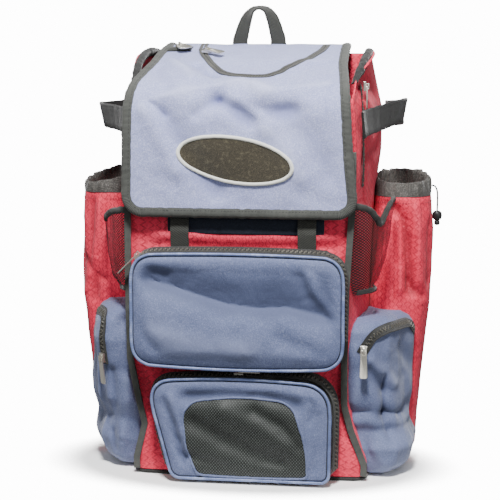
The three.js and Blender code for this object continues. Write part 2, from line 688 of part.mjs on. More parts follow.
// A place on a stack of rings by shares round and up, with the way out of the surface
function onRings(rings, round, up) {
  const at = (u, v) => {
    const count = rings[0].length;
    const [r, c] = [Math.min(v * (rings.length - 1), rings.length - 1.001), (((u % 1) + 1) % 1) * count];
    const [r0, c0] = [Math.floor(r), Math.floor(c)];
    const pick = (a, b) => rings[a][b % count];
    const low = pick(r0, c0).clone().lerp(pick(r0, c0 + 1), c - c0);
    const high = pick(r0 + 1, c0).clone().lerp(pick(r0 + 1, c0 + 1), c - c0);
    return low.lerp(high, r - r0);
  };
  const step = 0.012;
  const point = at(round, up);
  const around = at(round + step, up).sub(at(round - step, up));
  const rise = at(round, Math.min(up + step, 0.999)).sub(at(round, up - step));
  return { point, out: around.cross(rise).normalize() };
}

// A zip laid over a face: place gives the point on the face under each share along and each distance across.
function buildZip(place, steps, lift, size = ZIP) {
  const [half, ridge, tape] = [size.width / 2, size.ridge / 2, lift + size.thickness];
  const section = [
    [-half, lift],
    [0, lift],
    [half, lift],
    [half, tape],
    [ridge, tape],
    [ridge, tape + size.proud],
    [-ridge, tape + size.proud],
    [-ridge, tape],
    [-half, tape],
  ];
  const ringAt = (t) => section.map(([across, up]) => place(t, across, up));
  return skin(Array.from({ length: steps + 1 }, (_, i) => ringAt(i / steps)));
}

// Where the side pockets' zips run: places round and up the pocket's rings
const sideZipRoute = {
  right: [
    { round: 0.14, up: 0.66 },
    { round: 0.2, up: 0.72 },
    { round: 0.29, up: 0.78 },
    { round: 0.38, up: 0.81 },
    { round: 0.48, up: 0.8 },
    { round: 0.56, up: 0.72 },
  ],
  left: [
    { round: 0.24, up: 0.58 },
    { round: 0.24, up: 0.66 },
    { round: 0.25, up: 0.74 },
    { round: 0.29, up: 0.81 },
    { round: 0.36, up: 0.84 },
    { round: 0.46, up: 0.8 },
  ],
};
function sideZipPlace(sideName, t) {
  const route = new THREE.CatmullRomCurve3(sideZipRoute[sideName].map(({ round, up }) => vec(round, up, 0)));
  const at = route.getPoint(t);
  const { point, out } = onRings(sidePocketRings(sideName, 0), at.x, at.y);
  if (sideName === "right") return { point, out };
  return { point: vec(-point.x, point.y, point.z), out: vec(-out.x, out.y, out.z) };
}
function buildSideZip(sideName) {
  const near = 0.02;
  const pocket = skin(turned(sidePocketRings(sideName, -GAP), SIDES[sideName]));
  const zip = buildZip(
    (t, across, up) => {
      const { point, out } = sideZipPlace(sideName, t);
      const next = sideZipPlace(sideName, Math.min(t + near, 1)).point;
      const last = sideZipPlace(sideName, Math.max(t - near, 0)).point;
      const side = next.sub(last).normalize().cross(out).normalize();
      return point.clone().addScaledVector(side, across).addScaledVector(out, up);
    },
    12,
    GAP,
    SIDE_ZIP,
  );
  return biggest(zip.subtract(pocket).subtract(packEnvelope));
}

// Mesh pockets: a cone of net in the same corner, above the side pocket, open at its slack mouth
const meshPocketRows = [
  { share: 0.0, reach: 0.45, front: 0.9 },
  { share: 0.12, reach: 0.78, front: 0.95 },
  { share: 0.35, reach: 0.92, front: 0.97 },
  { share: 0.65, reach: 0.97, front: 0.99 },
  { share: 0.88, reach: 1.0, front: 1.0 },
  { share: 1.0, reach: 1.02, front: 1.02 },
];
function meshPocketRings(inset, from, to, side) {
  return meshPocketRows.map((row, i) => {
    const share = i === meshPocketRows.length - 1 ? to : row.share;
    const z = mix(MESH_POCKET.bottom, MESH_POCKET.top, share);
    const wall = sideAt(SIDE_POCKET_FRONT, z, side);
    const reach = wall + MESH_POCKET.reach * row.reach;
    const front = mix(0, SIDE_POCKET_FRONT - 2, row.front);
    const loop = outline(
      [
        { x: wall - 30 - from, y: front, radius: 3, cuts: 2, bulge: 0, steps: 1 },
        { x: wall + 6, y: front, radius: 12, cuts: 2, bulge: 3, steps: 3 },
        { x: reach, y: mix(front, 10, 0.55), radius: 16, cuts: 2, bulge: 3, steps: 3 },
        { x: reach + 6, y: SLEEVE.centre, radius: 4, cuts: 1, steps: 1 },
        { x: wall - 30 - from, y: SLEEVE.centre, radius: 3, cuts: 2, bulge: 0, steps: 1 },
      ],
      3,
    );
    return level(offset(loop, -inset), z + inset * (1 - share));
  });
}
function meshPocketTrim(solid, side) {
  const sleeve = sleeveSkin(GAP + CUFF.flare, SLEEVE.bottom - GAP, SLEEVE_TOP + 60, side);
  return biggest(solid.subtract(packEnvelope).subtract(sleeve));
}
function buildMeshPocket(side) {
  const outer = skin(turned(meshPocketRings(0, 0, 1, side), side));
  const inner = skin(turned(meshPocketRings(MESH_WALL, 20, 1.2, side), side));
  return meshPocketTrim(outer.subtract(inner), side);
}
// The elastic binding on the mouth of a mesh pocket
function buildMeshBinding(side) {
  const rings = meshPocketRings(0, 0, 1, side);
  const top = rings[rings.length - 1].map((p) => new THREE.Vector2(p.x, p.y));
  const wrap = (grow, low, high) => {
    const loop = offset(top, grow);
    return skin(turned([level(loop, low), level(loop, high)], side));
  };
  const low = MESH_POCKET.top + GAP;
  const band = wrap(1.4, low, low + 9).subtract(wrap(-MESH_WALL - 0.8, low - 5, low + 20));
  return meshPocketTrim(band, side);
}

// Bat straps: hook-and-loop webbing that leaves each side panel and comes back to it further behind
function buildBatStrap(side, loop, droop) {
  const z = BAT_STRAP.height;
  const root = sideAt(PACK_FRONT + 26, z, side);
  const tail = sideAt(SLEEVE.centre + 2, z, side);
  const lift = 7 * GAP + SIDE_ZIP.thickness + SIDE_ZIP.proud + BAT_STRAP.thickness / 2;
  const behind = (share) => PACK_FRONT + PACK_DEPTH * share;
  const route = new THREE.CatmullRomCurve3(
    [
      vec(root + lift, behind(0.076), z),
      vec(root + lift + 1, behind(0.173), z + 1),
      vec(root + loop * 0.45, behind(0.335), z + BAT_STRAP.rise * 0.5 - droop * 0.3),
      vec(root + loop * 0.92, behind(0.497), z + BAT_STRAP.rise - droop),
      vec(root + loop, behind(0.627), z + BAT_STRAP.rise - droop),
      vec(tail + loop * 0.42, SLEEVE.centre - 26, z + BAT_STRAP.rise * 0.8 - droop * 0.5),
      vec(tail + lift + 2, SLEEVE.centre - 8, z + BAT_STRAP.rise * 0.6),
      vec(tail + lift, SLEEVE.centre + 10, z + BAT_STRAP.rise * 0.6),
    ],
    false,
    "centripetal",
  );
  const points = route.getPoints(18);
  const outs = points.map((p, i) => {
    const along = wayAt(points, i);
    return vec(along.y, -along.x, 0).normalize();
  });
  const strap = ribbon(points, outs, BAT_STRAP.width, BAT_STRAP.thickness);
  const placed = side < 0 ? strap.mirror([1, 0, 0]) : strap;
  return biggest(placed.subtract(packEnvelope));
}

// The carrying loop: webbing that stands up behind the ridge and turns broad side up at its top
function buildHandle() {
  const y = PACK_BACK + PACK_BULGE.back + GAP + HANDLE.thickness / 2;
  const [half, top] = [HANDLE.span / 2, PACK_HEIGHT + HANDLE.rise];
  const rows = [
    { x: -half, z: PACK_HEIGHT - 34, turn: 0 },
    { x: -half, z: PACK_HEIGHT - 12, turn: 0 },
    { x: -half * 0.95, z: PACK_HEIGHT + 8, turn: 0 },
    { x: -half * 0.62, z: mix(PACK_HEIGHT, top, 0.5), turn: 0.25 },
    { x: -half * 0.34, z: mix(PACK_HEIGHT, top, 0.86), turn: 0.7 },
    { x: 0, z: top, turn: 1 },
  ];
  const returning = rows.slice(0, -1).reverse().map((row) => ({ ...row, x: -row.x }));
  const all = [...rows, ...returning];
  const middles = all.map((row) => vec(row.x, y + 10 * row.turn * 0.3, row.z));
  const outs = all.map((row, i) => {
    const over = vec(0, 1, 0).cross(wayAt(middles, i)).normalize().multiplyScalar(-1);
    return vec(0, 1, 0).multiplyScalar(-(1 - row.turn)).addScaledVector(over, row.turn).normalize();
  });
  const width = (t) => HANDLE.width * (1 - HANDLE.gather * Math.sin(Math.PI * t) ** 2);
  return ribbon(middles, outs, width, HANDLE.thickness);
}

// Straps and padding on the back
function buildBackPad() {
  const [half, low, high] = [BACK_PAD.width / 2, BACK_PAD.bottom, BACK_PAD.bottom + BACK_PAD.height];
  const shape = outline(
    [
      { x: -half, y: low, radius: 40, cuts: 3 },
      { x: half, y: low, radius: 40, cuts: 4 },
      { x: half * 0.9, y: high, radius: 50, cuts: 3 },
      { x: -half * 0.9, y: high, radius: 50, cuts: 4 },
    ],
    4,
  );
  const start = PACK_BACK + PACK_BULGE.back + GAP;
  const rows = [
    { y: -12, inset: 0 },
    { y: BACK_PAD.thickness * 0.5, inset: 0 },
    { y: BACK_PAD.thickness * 0.85, inset: 4 },
    { y: BACK_PAD.thickness, inset: 14 },
  ];
  const rings = rows.map((row) => offset(shape, -row.inset).map((p) => vec(p.x, start + row.y, p.y)));
  return biggest(skin(rings).subtract(packEnvelope));
}
const PAD_FACE = PACK_BACK + PACK_BULGE.back + GAP + BACK_PAD.thickness;

const shoulderRows = [
  { share: 0.0, out: 0.56, stand: -0.216, width: 0.86 },
  { share: 0.07, out: 0.6, stand: -0.13, width: 0.9 },
  { share: 0.2, out: 0.74, stand: 0.62, width: 1.0 },
  { share: 0.38, out: 0.95, stand: 1.0, width: 1.0 },
  { share: 0.56, out: 1.15, stand: 1.0, width: 0.98 },
  { share: 0.74, out: 1.25, stand: 0.82, width: 0.88 },
  { share: 0.9, out: 1.3, stand: 0.6, width: 0.72 },
  { share: 1.0, out: 1.32, stand: 0.48, width: 0.6 },
];
function shoulderMiddles(side) {
  return shoulderRows.map((row) =>
    vec(
      side * SHOULDER.spread * row.out,
      PAD_FACE + GAP + SHOULDER.thickness / 2 + SHOULDER.stand * row.stand,
      mix(SHOULDER.top, SHOULDER.bottom, row.share),
    ),
  );
}
function buildShoulderStrap(side) {
  const middles = shoulderMiddles(side);
  const rings = middles.map((middle, i) => {
    const along = wayAt(middles, i);
    const across = along.clone().cross(vec(0, 1, 0)).normalize();
    const out = across.clone().cross(along).normalize();
    const [w, t] = [(SHOULDER.width / 2) * shoulderRows[i].width, SHOULDER.thickness / 2];
    return [
      [-w, -t * 0.3],
      [-w * 0.85, -t],
      [w * 0.85, -t],
      [w, -t * 0.3],
      [w, t * 0.3],
      [w * 0.85, t],
      [-w * 0.85, t],
      [-w, t * 0.3],
    ].map(([a, b]) => middle.clone().addScaledVector(across, a).addScaledVector(out, b));
  });
  return biggest(skin(rings).subtract(padEnvelope));
}
const padEnvelope = (() => {
  const [half, low] = [BACK_PAD.width / 2 + 5, BACK_PAD.bottom - 5];
  const loop = [
    [-half, low],
    [half, low],
    [half, low + BACK_PAD.height + 10],
    [-half, low + BACK_PAD.height + 10],
  ];
  return skin([PACK_BACK - 5, PAD_FACE + GAP * 0.8].map((y) => loop.map(([x, z]) => vec(x, y, z))));
})();

function buckleMiddle(side) {
  const middles = shoulderMiddles(side);
  return middles[middles.length - 1].clone().add(vec(side * 3, -1, -14.6));
}
const BUCKLE = { width: 34, height: 26, thickness: 6 };
function buildBuckle(side) {
  const middle = buckleMiddle(side);
  const frame = new THREE.Shape(
    outline(
      [
        { x: -BUCKLE.width / 2, y: -BUCKLE.height / 2, radius: 4 },
        { x: BUCKLE.width / 2, y: -BUCKLE.height / 2, radius: 4 },
        { x: BUCKLE.width / 2, y: BUCKLE.height / 2, radius: 4 },
        { x: -BUCKLE.width / 2, y: BUCKLE.height / 2, radius: 4 },
      ],
      2,
    ),
  );
  const slotHalf = WEBBING.width / 2 + 1;
  for (const low of [-8.5, 3])
    frame.holes.push(
      new THREE.Path([
        new THREE.Vector2(-slotHalf, low),
        new THREE.Vector2(-slotHalf, low + 5.5),
        new THREE.Vector2(slotHalf, low + 5.5),
        new THREE.Vector2(slotHalf, low),
      ]),
    );
  const geometry = new THREE.ExtrudeGeometry(frame, { depth: BUCKLE.thickness, bevelEnabled: false });
  geometry.translate(0, 0, -BUCKLE.thickness / 2).rotateX(Math.PI / 2);
  return { geometry, position: middle };
}
// The adjusting web hangs from the buckle's lower bar down to the pack's lower back corner
function buildStrapWeb(side) {
  const start = buckleMiddle(side).add(vec(0, 0, -BUCKLE.height / 2 - WEBBING.thickness * 2));
  const footZ = 46;
  const footX = side * (sideAt(PACK_BACK - 20, footZ, side) - 34);
  const footY = PACK_BACK + GAP + WEBBING.thickness / 2 + 1.6;
  const route = new THREE.CatmullRomCurve3(
    [
      start,
      vec(mix(start.x, footX, 0.25), mix(start.y, footY, 0.2), mix(start.z, footZ, 0.3)),
      vec(mix(start.x, footX, 0.7), mix(start.y, footY, 0.62), mix(start.z, footZ, 0.68)),
      vec(mix(start.x, footX, 0.97), footY + 1.5, footZ + 14),
      vec(footX, footY, footZ - 14),
    ],
    false,
    "centripetal",
  );
  const points = route.getPoints(12);
  const web = ribbon(points, points.map(() => vec(0, 1, 0)), WEBBING.width, WEBBING.thickness);
  return biggest(web.subtract(packEnvelope).subtract(padEnvelope));
}

function buildYoke() {
  const start = PACK_BACK + PACK_BULGE.back + GAP;
  const low = BACK_PAD.bottom + BACK_PAD.height + GAP * 2;
  const shape = outline(
    [
      { x: -YOKE.width / 2, y: low, radius: 6, cuts: 3 },
      { x: YOKE.width / 2, y: low, radius: 6 },
      { x: YOKE.width / 2 - 8, y: low + YOKE.height, radius: 8, cuts: 3 },
      { x: -YOKE.width / 2 + 8, y: low + YOKE.height, radius: 8 },
    ],
    2,
  );
  return biggest(prism(shape, start - 10, start + YOKE.thickness).subtract(packEnvelope));
}

// Bindings down the front panel's two edges
function buildFrontBinding(side, grow = 0) {
  const [low, high] = [FLOOR + 2, CREASE_HEIGHT - 60];
  const { width, thickness } = FRONT_BINDING;
  const middles = packHeights(low, high).map((z) => {
    const half = (PACK_WIDTH / 2) * rowAt(packRows, side < 0 ? "frontLeft" : "frontRight", z / PACK_HEIGHT);
    const front = frontAt(side * (half - PACK_CORNER.front), z);
    return vec(side * (half - width / 2 + FRONT_BINDING.overhang), front + GAP - thickness / 2, z);
  });
  const strip = ribbon(middles, middles.map(() => vec(0, -1, 0)), width + 2 * grow, thickness + 2 * grow);
  return grow ? strip : biggest(strip.subtract(packEnvelope));
}

// The panel and the two webbings that show under the flap's hem
const NAVY = { left: -100, right: 114, bottom: 341, top: 402, thickness: 1.8 };
function frontSheet(left, right, bottom, top, lift, thickness) {
  const rows = [bottom, mix(bottom, top, 0.5), top];
  const columns = 8;
  const grid = (extra) =>
    rows.map((z) =>
      Array.from({ length: columns + 1 }, (_, c) => {
        const x = mix(left, right, c / columns);
        return vec(x, frontAt(x, z) - lift - extra, z);
      }),
    );
  return plate(grid(thickness), grid(0));
}
const FLAP_STRAPS = { left: -83, right: 91, top: 398 };
function buildFlapStrap(x) {
  const low = FRONT_POCKET.bottom + FRONT_POCKET.height + GAP + ZIP.thickness + ZIP.proud + GAP + 2;
  const lift = 2 * GAP + NAVY.thickness + WEBBING.thickness / 2 + 0.3;
  const heights = [low, mix(low, FLAP_STRAPS.top, 0.3), mix(low, FLAP_STRAPS.top, 0.6), FLAP_STRAPS.top];
  const middles = heights.map((z, i) => vec(x, frontAt(x, z) - lift - (i === 1 ? 3 : 0), z));
  return ribbon(middles, middles.map(() => vec(0, -1, 0)), WEBBING.width, WEBBING.thickness);
}

// Zips on the flap and on the pack's sides
const NARROW_ZIP = { width: 9, thickness: 0.9, ridge: 4, proud: 0.9 };
const SIDE_ZIP = { width: 16, thickness: 1.1, ridge: 5, proud: 1.2 };
const PACK_ZIP = { below: 86, drop: 46, behind: 33, bend: 10 };
const FLAP_ZIP = { left: -0.57, right: 0.74, top: 0.03, deepest: 0.47 };

function flapZipPlace(t) {
  const share = mix(FLAP_ZIP.top, FLAP_ZIP.deepest, Math.sin(Math.PI * t) ** 0.7);
  return { x: mix(FLAP_ZIP.left, FLAP_ZIP.right, t) * flapHalf(share), share };
}
function buildFlapZip() {
  const near = 0.02;
  const length = flapLine.getLength();
  return buildZip(
    (t, across, up) => {
      const { x, share } = flapZipPlace(t);
      const [next, last] = [flapZipPlace(Math.min(t + near, 1)), flapZipPlace(Math.max(t - near, 0))];
      const way = new THREE.Vector2(next.x - last.x, -(next.share - last.share) * length).normalize();
      return onFlap(x - way.y * across, share - (way.x * across) / length, up).point;
    },
    18,
    GAP * 3,
    NARROW_ZIP,
  );
}
// A place on the zip of the pack's side, which bends back a little near its top
function packZipPlace(side, t, across = 0, up = 0) {
  const z = mix(BAT_STRAP.height - PACK_ZIP.below, PACK_HEIGHT - PACK_ZIP.drop, t);
  const bend = PACK_ZIP.bend * Math.max(0, (t - 0.6) / 0.4);
  const y = PACK_FRONT + PACK_ZIP.behind + bend + across * side;
  return vec(side * (sideAt(y, z, side) + up), y, z);
}
function buildPackSideZip(side) {
  const zip = buildZip(
    (t, across, up) => packZipPlace(side, t, across, up),
    6,
    GAP,
    SIDE_ZIP,
  );
  return biggest(zip.subtract(packEnvelope));
}

// The patch on the flap: an oval with a raised rim
function buildPatch() {
  const steps = 28;
  const tilt = THREE.MathUtils.degToRad(PATCH.tilt);
  const length = flapLine.getLength();
  const centre = { x: -2, share: 1 - (FLAP_DROP * 0.5 + 4) / length };
  const ring = (scale, lift) =>
    Array.from({ length: steps }, (_, i) => {
      const angle = (2 * Math.PI * i) / steps;
      const a = (PATCH.width / 2) * scale * Math.cos(angle);
      const b = (PATCH.height / 2) * scale * Math.sin(angle);
      const x = centre.x + a * Math.cos(tilt) - b * Math.sin(tilt);
      const up = a * Math.sin(tilt) + b * Math.cos(tilt);
      return onFlap(x, centre.share - up / length, lift).point;
    });
  const low = GAP * 3;
  const rings = [
    ring(0.5, low),
    ring(1, low),
    ring(1, low + PATCH.thickness),
    ring(0.95, low + PATCH.thickness),
    ring(0.92, low + PATCH.thickness * 0.7),
    ring(0.5, low + PATCH.thickness * 0.7),
  ];
  return skin(rings);
}

// A short tab of webbing on the flap's left shoulder, which holds the main zip's slider
const CORNER_TAB = { across: -0.78, share: 0.13, width: 22, length: 34, thickness: 2 };
const tabMiddle = CORNER_TAB.across * flapHalf(CORNER_TAB.share);
function buildCornerTab() {
  const length = flapLine.getLength();
  const place = (t, across, up) =>
    onFlap(tabMiddle + (t - 0.5) * CORNER_TAB.length, CORNER_TAB.share - across / length, up).point;
  const size = { width: CORNER_TAB.width, thickness: CORNER_TAB.thickness, ridge: 12, proud: 0.4 };
  return biggest(buildZip(place, 4, GAP * 0.5, size).subtract(flapEnvelope));
}

// The cord hangs out of the cuff as a loop, and the stop sits low on it
function buildCuffCord(start) {
  const route = new THREE.CatmullRomCurve3([
    start,
    start.clone().add(vec(5, 0, -2)),
    start.clone().add(vec(8, 1, -12)),
    start.clone().add(vec(8, 1, 4 - CORD.drop)),
  ]);
  return tube(route.getPoints(10), CORD.radius, CORD.sides);
}
function buildCordStop(start) {
  const turn = (radius, z) =>
    Array.from({ length: 12 }, (_, i) => {
      const angle = (2 * Math.PI * i) / 12;
      return vec(start.x + 8 + radius * Math.cos(angle), start.y + 1 + radius * Math.sin(angle), z);
    });
  const top = start.z + 4 - CORD.drop - GAP;
  return skin([
    turn(3.5, top),
    turn(6.5, top - 2.5),
    turn(7.2, top - 7),
    turn(6, top - 12),
    turn(3, top - 14),
    turn(4.2, top - 16),
    turn(4.2, top - 19),
    turn(2.5, top - 21),
  ]);
}

// Sliders and pulls. Their own frame: X is the pull's hinge, -Z the way it hangs
// and -Y the way off the cloth.
const HINGE_HEIGHT = SLIDER.height + 1.5;
function buildSlider() {
  const box = (x0, x1, y0, y1, z0, z1) =>
    skin(
      [z0, z1].map((z) => [vec(x0, y0, z), vec(x1, y0, z), vec(x1, y1, z), vec(x0, y1, z)]),
    );
  const [w, l, b] = [SLIDER.width / 2, SLIDER.length / 2, SLIDER.bridge / 2];
  const top = HINGE_HEIGHT + PULL.thickness / 2 + 0.6;
  const shape = [
    [-w, -l],
    [w, -l],
    [w * 0.8, 0],
    [w, l],
    [-w, l],
    [-w * 0.8, 0],
  ];
  const body = skin([0, -SLIDER.height].map((y) => shape.map(([x, z]) => vec(x, y, z))));
  const bridge = box(-b, b, -top - 1.3, 0, -l * 0.62, l * 0.62);
  const eye = box(-b - 1, b + 1, -top, -SLIDER.height, -l * 0.62 + 1.4, l * 0.62 - 1.4);
  return body.add(bridge.subtract(eye)).translate(0, HINGE_HEIGHT, 0);
}
function buildPull(pull) {
  const half = pull.width / 2;
  const [narrow, long] = [pull.eye / 2 + 1.2, pull.length];
  const frame = new THREE.Shape(
    outline(
      [
        { x: -half, y: -long, radius: pull.round ?? 3 },
        { x: half, y: -long, radius: pull.round ?? 3 },
        { x: pull.shoulder ?? half * 0.8, y: -long * 0.3, radius: 3 },
        { x: narrow, y: 1, radius: 1 },
        { x: -narrow, y: 1, radius: 1 },
        { x: -(pull.shoulder ?? half * 0.8), y: -long * 0.3, radius: 3 },
      ],
      2,
    ),
  );
  const [eyeHalf, low] = [SLIDER.bridge / 2 + 0.6, -6.2];
  frame.holes.push(
    new THREE.Path([
      new THREE.Vector2(-eyeHalf, low),
      new THREE.Vector2(-eyeHalf, -0.7),
      new THREE.Vector2(eyeHalf, -0.7),
      new THREE.Vector2(eyeHalf, low),
    ]),
  );
  const geometry = new THREE.ExtrudeGeometry(frame, { depth: pull.thickness, bevelEnabled: false });
  return geometry.translate(0, 0, -pull.thickness / 2).rotateX(Math.PI / 2);
}

// Materials
const cloth = (color, roughness = 0.85) => new THREE.MeshStandardMaterial({ color, roughness, metalness: 0 });
const blue = cloth(0x5d6b93);
const red = cloth(0xc8233f);
const black = cloth(0x26261f);
const net = cloth(0x1d1d1b, 0.9);
const navy = cloth(0x1c2433);
const felt = cloth(0x1e1b16, 0.95);
const silver = new THREE.MeshStandardMaterial({ color: 0xb9b4a2, roughness: 0.3, metalness: 0.9 });
const plastic = cloth(0x1a1a1a, 0.4);

const backpack = new THREE.Group();
function addGeometry(name, geometry, material) {
  const mesh = new THREE.Mesh(geometry, material);
  mesh.name = name;
  backpack.add(mesh);
  return mesh;
}
function add(name, solid, material) {
  const { vertProperties, triVerts, numProp } = solid.getMesh();
  const geometry = new THREE.BufferGeometry();
  const position = new Float32Array((vertProperties.length / numProp) * 3);
  for (let i = 0; i < position.length / 3; i++)
    for (let k = 0; k < 3; k++) position[i * 3 + k] = vertProperties[i * numProp + k];
  geometry.setAttribute("position", new THREE.BufferAttribute(position, 3));
  geometry.setIndex(new THREE.BufferAttribute(new Uint32Array(triVerts), 1));
  geometry.computeVertexNormals();
  return addGeometry(name, geometry, material);
}

// A slider on a zip with its pull: point is where the slider stands, out the way off the cloth
// and hang the way the pull lies.
function addSlider(name, { point, out }, hang, lift, pull = PULL) {
  const away = out.clone().normalize();
  const down = hang.clone().addScaledVector(away, -hang.dot(away)).normalize();
  const axis = away.clone().cross(down).normalize();
  const turn = new THREE.Matrix4().makeBasis(axis, away.clone().negate(), down.clone().negate());
  const pivot = point.clone().addScaledVector(away, lift + HINGE_HEIGHT);
  for (const [part, mesh] of [
    ["slider", add(`${name}_slider`, buildSlider(), silver)],
    ["pull", addGeometry(`${name}_pull`, buildPull(pull), silver)],
  ]) {
    mesh.userData.part = part;
    mesh.quaternion.setFromRotationMatrix(turn);
    mesh.position.copy(pivot);
  }
}

// Assembly
add("base_panel", buildBasePanel(), black);
add("pack_body", buildPackBody(), red);
add("lid_flap", plate(flapGrid(0), flapGrid(-FLAP_THICKNESS)), blue);
add("flap_binding", buildFlapBinding(), black);
add("flap_zip", buildFlapZip(), black);
add("flap_patch", buildPatch(), felt);
add("top_handle", buildHandle(), black);

for (const [name, side] of Object.entries(SIDES)) {
  add(`front_binding_${name}`, buildFrontBinding(side), black);
  add(`bat_sleeve_${name}`, buildSleeve(side), red);
  add(`sleeve_cuff_${name}`, buildCuff(side, side < 0 ? DROOP.cuff : 0), black);
  add(`side_pocket_${name}`, buildSidePocket(name), blue);
  add(`mesh_pocket_${name}`, buildMeshPocket(side), net);
  add(`mesh_binding_${name}`, buildMeshBinding(side), black);
  add(`bat_strap_${name}`, buildBatStrap(side, BAT_STRAP.loop, side < 0 ? DROOP.strap : 0), black);
  add(`side_pocket_zip_${name}`, buildSideZip(name), black);
  add(`pack_zip_${name}`, buildPackSideZip(side), black);
  add(`shoulder_strap_${name}`, buildShoulderStrap(side), black);
  const buckle = buildBuckle(side);
  addGeometry(`strap_buckle_${name}`, buckle.geometry, plastic).position.copy(buckle.position);
  add(`strap_web_${name}`, buildStrapWeb(side), black);
}

add("front_pocket", buildPouch(frontPouch), blue);
add("front_pocket_piping", buildPiping(frontPouch), blue);
add("front_pocket_zip", buildPouchZip(frontPouch, FRONT_POCKET.bottom + 34), black);
const shoeShell = buildPouch(shoePouch);
const shoeFace = PACK_FRONT - PACK_BULGE.front - SHOE_POCKET.depth;
const windowCut = (grow) => prism(shoeWindowOutline(grow), shoeFace + 8, shoeFace - SHOE_POCKET.depth);
add("shoe_pocket", shoeShell.subtract(windowCut(0)), blue);
add("shoe_pocket_mesh", biggest(shoeShell.intersect(windowCut(-GAP))), net);
add("shoe_pocket_piping", buildPiping(shoePouch), blue);
add("shoe_pocket_zip", buildPouchZip(shoePouch, SHOE_POCKET.bottom + 10), black);

add("under_flap_panel", frontSheet(NAVY.left, NAVY.right, NAVY.bottom, NAVY.top, GAP, NAVY.thickness), navy);
add("flap_strap_left", buildFlapStrap(FLAP_STRAPS.left), black);
add("flap_strap_right", buildFlapStrap(FLAP_STRAPS.right), black);

add("back_pad", buildBackPad(), net);
add("strap_yoke", buildYoke(), black);

// Sliders and pulls, each lying as it hangs in use
const PICK = { length: 27, width: 25, thickness: 1.8, eye: 6, round: 11, shoulder: 8 };
const LONG_PULL = { length: 38, width: 11, thickness: 1.8, eye: 6 };
const flapSpot = flapZipPlace(0.1);
addSlider(
  "flap_zip",
  onFlap(flapSpot.x, flapSpot.share),
  vec(0.8, -0.55, -0.15),
  GAP * 4 + NARROW_ZIP.thickness + NARROW_ZIP.proud,
);
add("flap_corner_tab", buildCornerTab(), black);
const tabLift = GAP * 3 + CORNER_TAB.thickness;
addSlider("main_zip", onFlap(tabMiddle, CORNER_TAB.share), vec(0.5, -0.8, -0.25), tabLift, PICK);
const sideLift = GAP * 2 + SIDE_ZIP.thickness + SIDE_ZIP.proud;
const packSpot = packZipPlace(1, 0.97, 0, 1.5);
addSlider("pack_zip_right", { point: packSpot, out: vec(1, 0, 0) }, vec(0.1, 0, -1), sideLift, PULL);
// The front pocket's slider stands on the teeth at the pouch's upper left corner
const cornerWay = new THREE.Vector2(-1, 1);
const pouchCorner = frontOutline(frontPouch, GAP + ZIP.thickness + ZIP.proud).reduce((best, p) =>
  p.dot(cornerWay) > best.dot(cornerWay) ? p : best,
);
const pouchSpot = vec(pouchCorner.x, PACK_FRONT - PACK_BULGE.front - 5 - ZIP.width / 2, pouchCorner.y);
addSlider(
  "front_pocket_zip",
  { point: pouchSpot, out: vec(-1, 0, 1) },
  vec(-1, 0, -1),
  GAP,
  LONG_PULL,
);
// The shoe pocket's slider stands at the top of its zip, in the gap under the front pocket
const shoeTop = frontOutline(shoePouch, GAP + ZIP.thickness + ZIP.proud).reduce((best, p) =>
  p.y > best.y ? p : best,
);
const shoeSpot = vec(shoeTop.x, pouchSpot.y, shoeTop.y);
addSlider("shoe_pocket_zip", { point: shoeSpot, out: vec(0, 0, 1) }, vec(1, 0, 0), GAP);
for (const name of ["left", "right"])
  addSlider(`side_pocket_zip_${name}`, sideZipPlace(name, 0.06), vec(0, 0, -1), sideLift, LONG_PULL);

// The drawcord of the right cuff and its stop
const cuffEdge = Math.max(...sleeveRing(SLEEVE_TOP, CUFF.flare, 1).map((p) => p.x));
const cordStart = vec(cuffEdge - CORD.seat, SLEEVE.centre + 4, SLEEVE_TOP + CUFF.height / 2);
add("cuff_cord_right", buildCuffCord(cordStart), black);
add("cord_stop_right", buildCordStop(cordStart), plastic);

export default backpack;
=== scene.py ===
"""A baseball bat backpack standing on its base: the cloth, tapes, zips and fittings of every piece.

Lengths in the tables are millimetres, with +Z up, the front at -Y and the origin under the base's middle.
"""

import math

import bmesh
import bpy
import numpy as np
from mathutils import Matrix, Vector, noise
from mathutils.bvhtree import BVHTree


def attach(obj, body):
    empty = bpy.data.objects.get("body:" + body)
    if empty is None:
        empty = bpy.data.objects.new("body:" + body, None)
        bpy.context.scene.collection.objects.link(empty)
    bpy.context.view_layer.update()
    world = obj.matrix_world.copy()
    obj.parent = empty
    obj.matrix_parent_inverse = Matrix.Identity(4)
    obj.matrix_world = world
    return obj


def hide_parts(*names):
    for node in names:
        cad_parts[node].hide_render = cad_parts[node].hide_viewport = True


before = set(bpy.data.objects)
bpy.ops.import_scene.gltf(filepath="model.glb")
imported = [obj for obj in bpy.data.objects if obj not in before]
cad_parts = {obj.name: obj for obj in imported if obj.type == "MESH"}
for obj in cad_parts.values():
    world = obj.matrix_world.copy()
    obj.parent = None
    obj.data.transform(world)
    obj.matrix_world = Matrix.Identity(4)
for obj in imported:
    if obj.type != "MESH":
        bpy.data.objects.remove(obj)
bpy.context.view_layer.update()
MM = 0.001
SIDES = {"left": -1, "right": 1}
PACK_HALF = 157  # half the front panel's width
PACK_FACE = -92.5  # y of the panel that the pouches are sewn to
FRONT_FACE = -133  # y of the front pocket's face at its edge
SHOE_FACE = -125  # y of the shoe pocket's face at its edge
POUCH_ZIP = -111  # y of the zips round both pouches
LID_SIDE = 3  # how far the lid overhangs the panel on each side
LID_EDGE = 12  # how far its cloth stops short of its binding's rim
SLEEVE_AXIS = (205, 60)
SIDE_POCKET_AXIS = (192, -24)
NET_AXIS = (174, -32)
FORWARD = (0, -1, 0)
EVEN = (1, 1, 1)


# Camera, floor and light


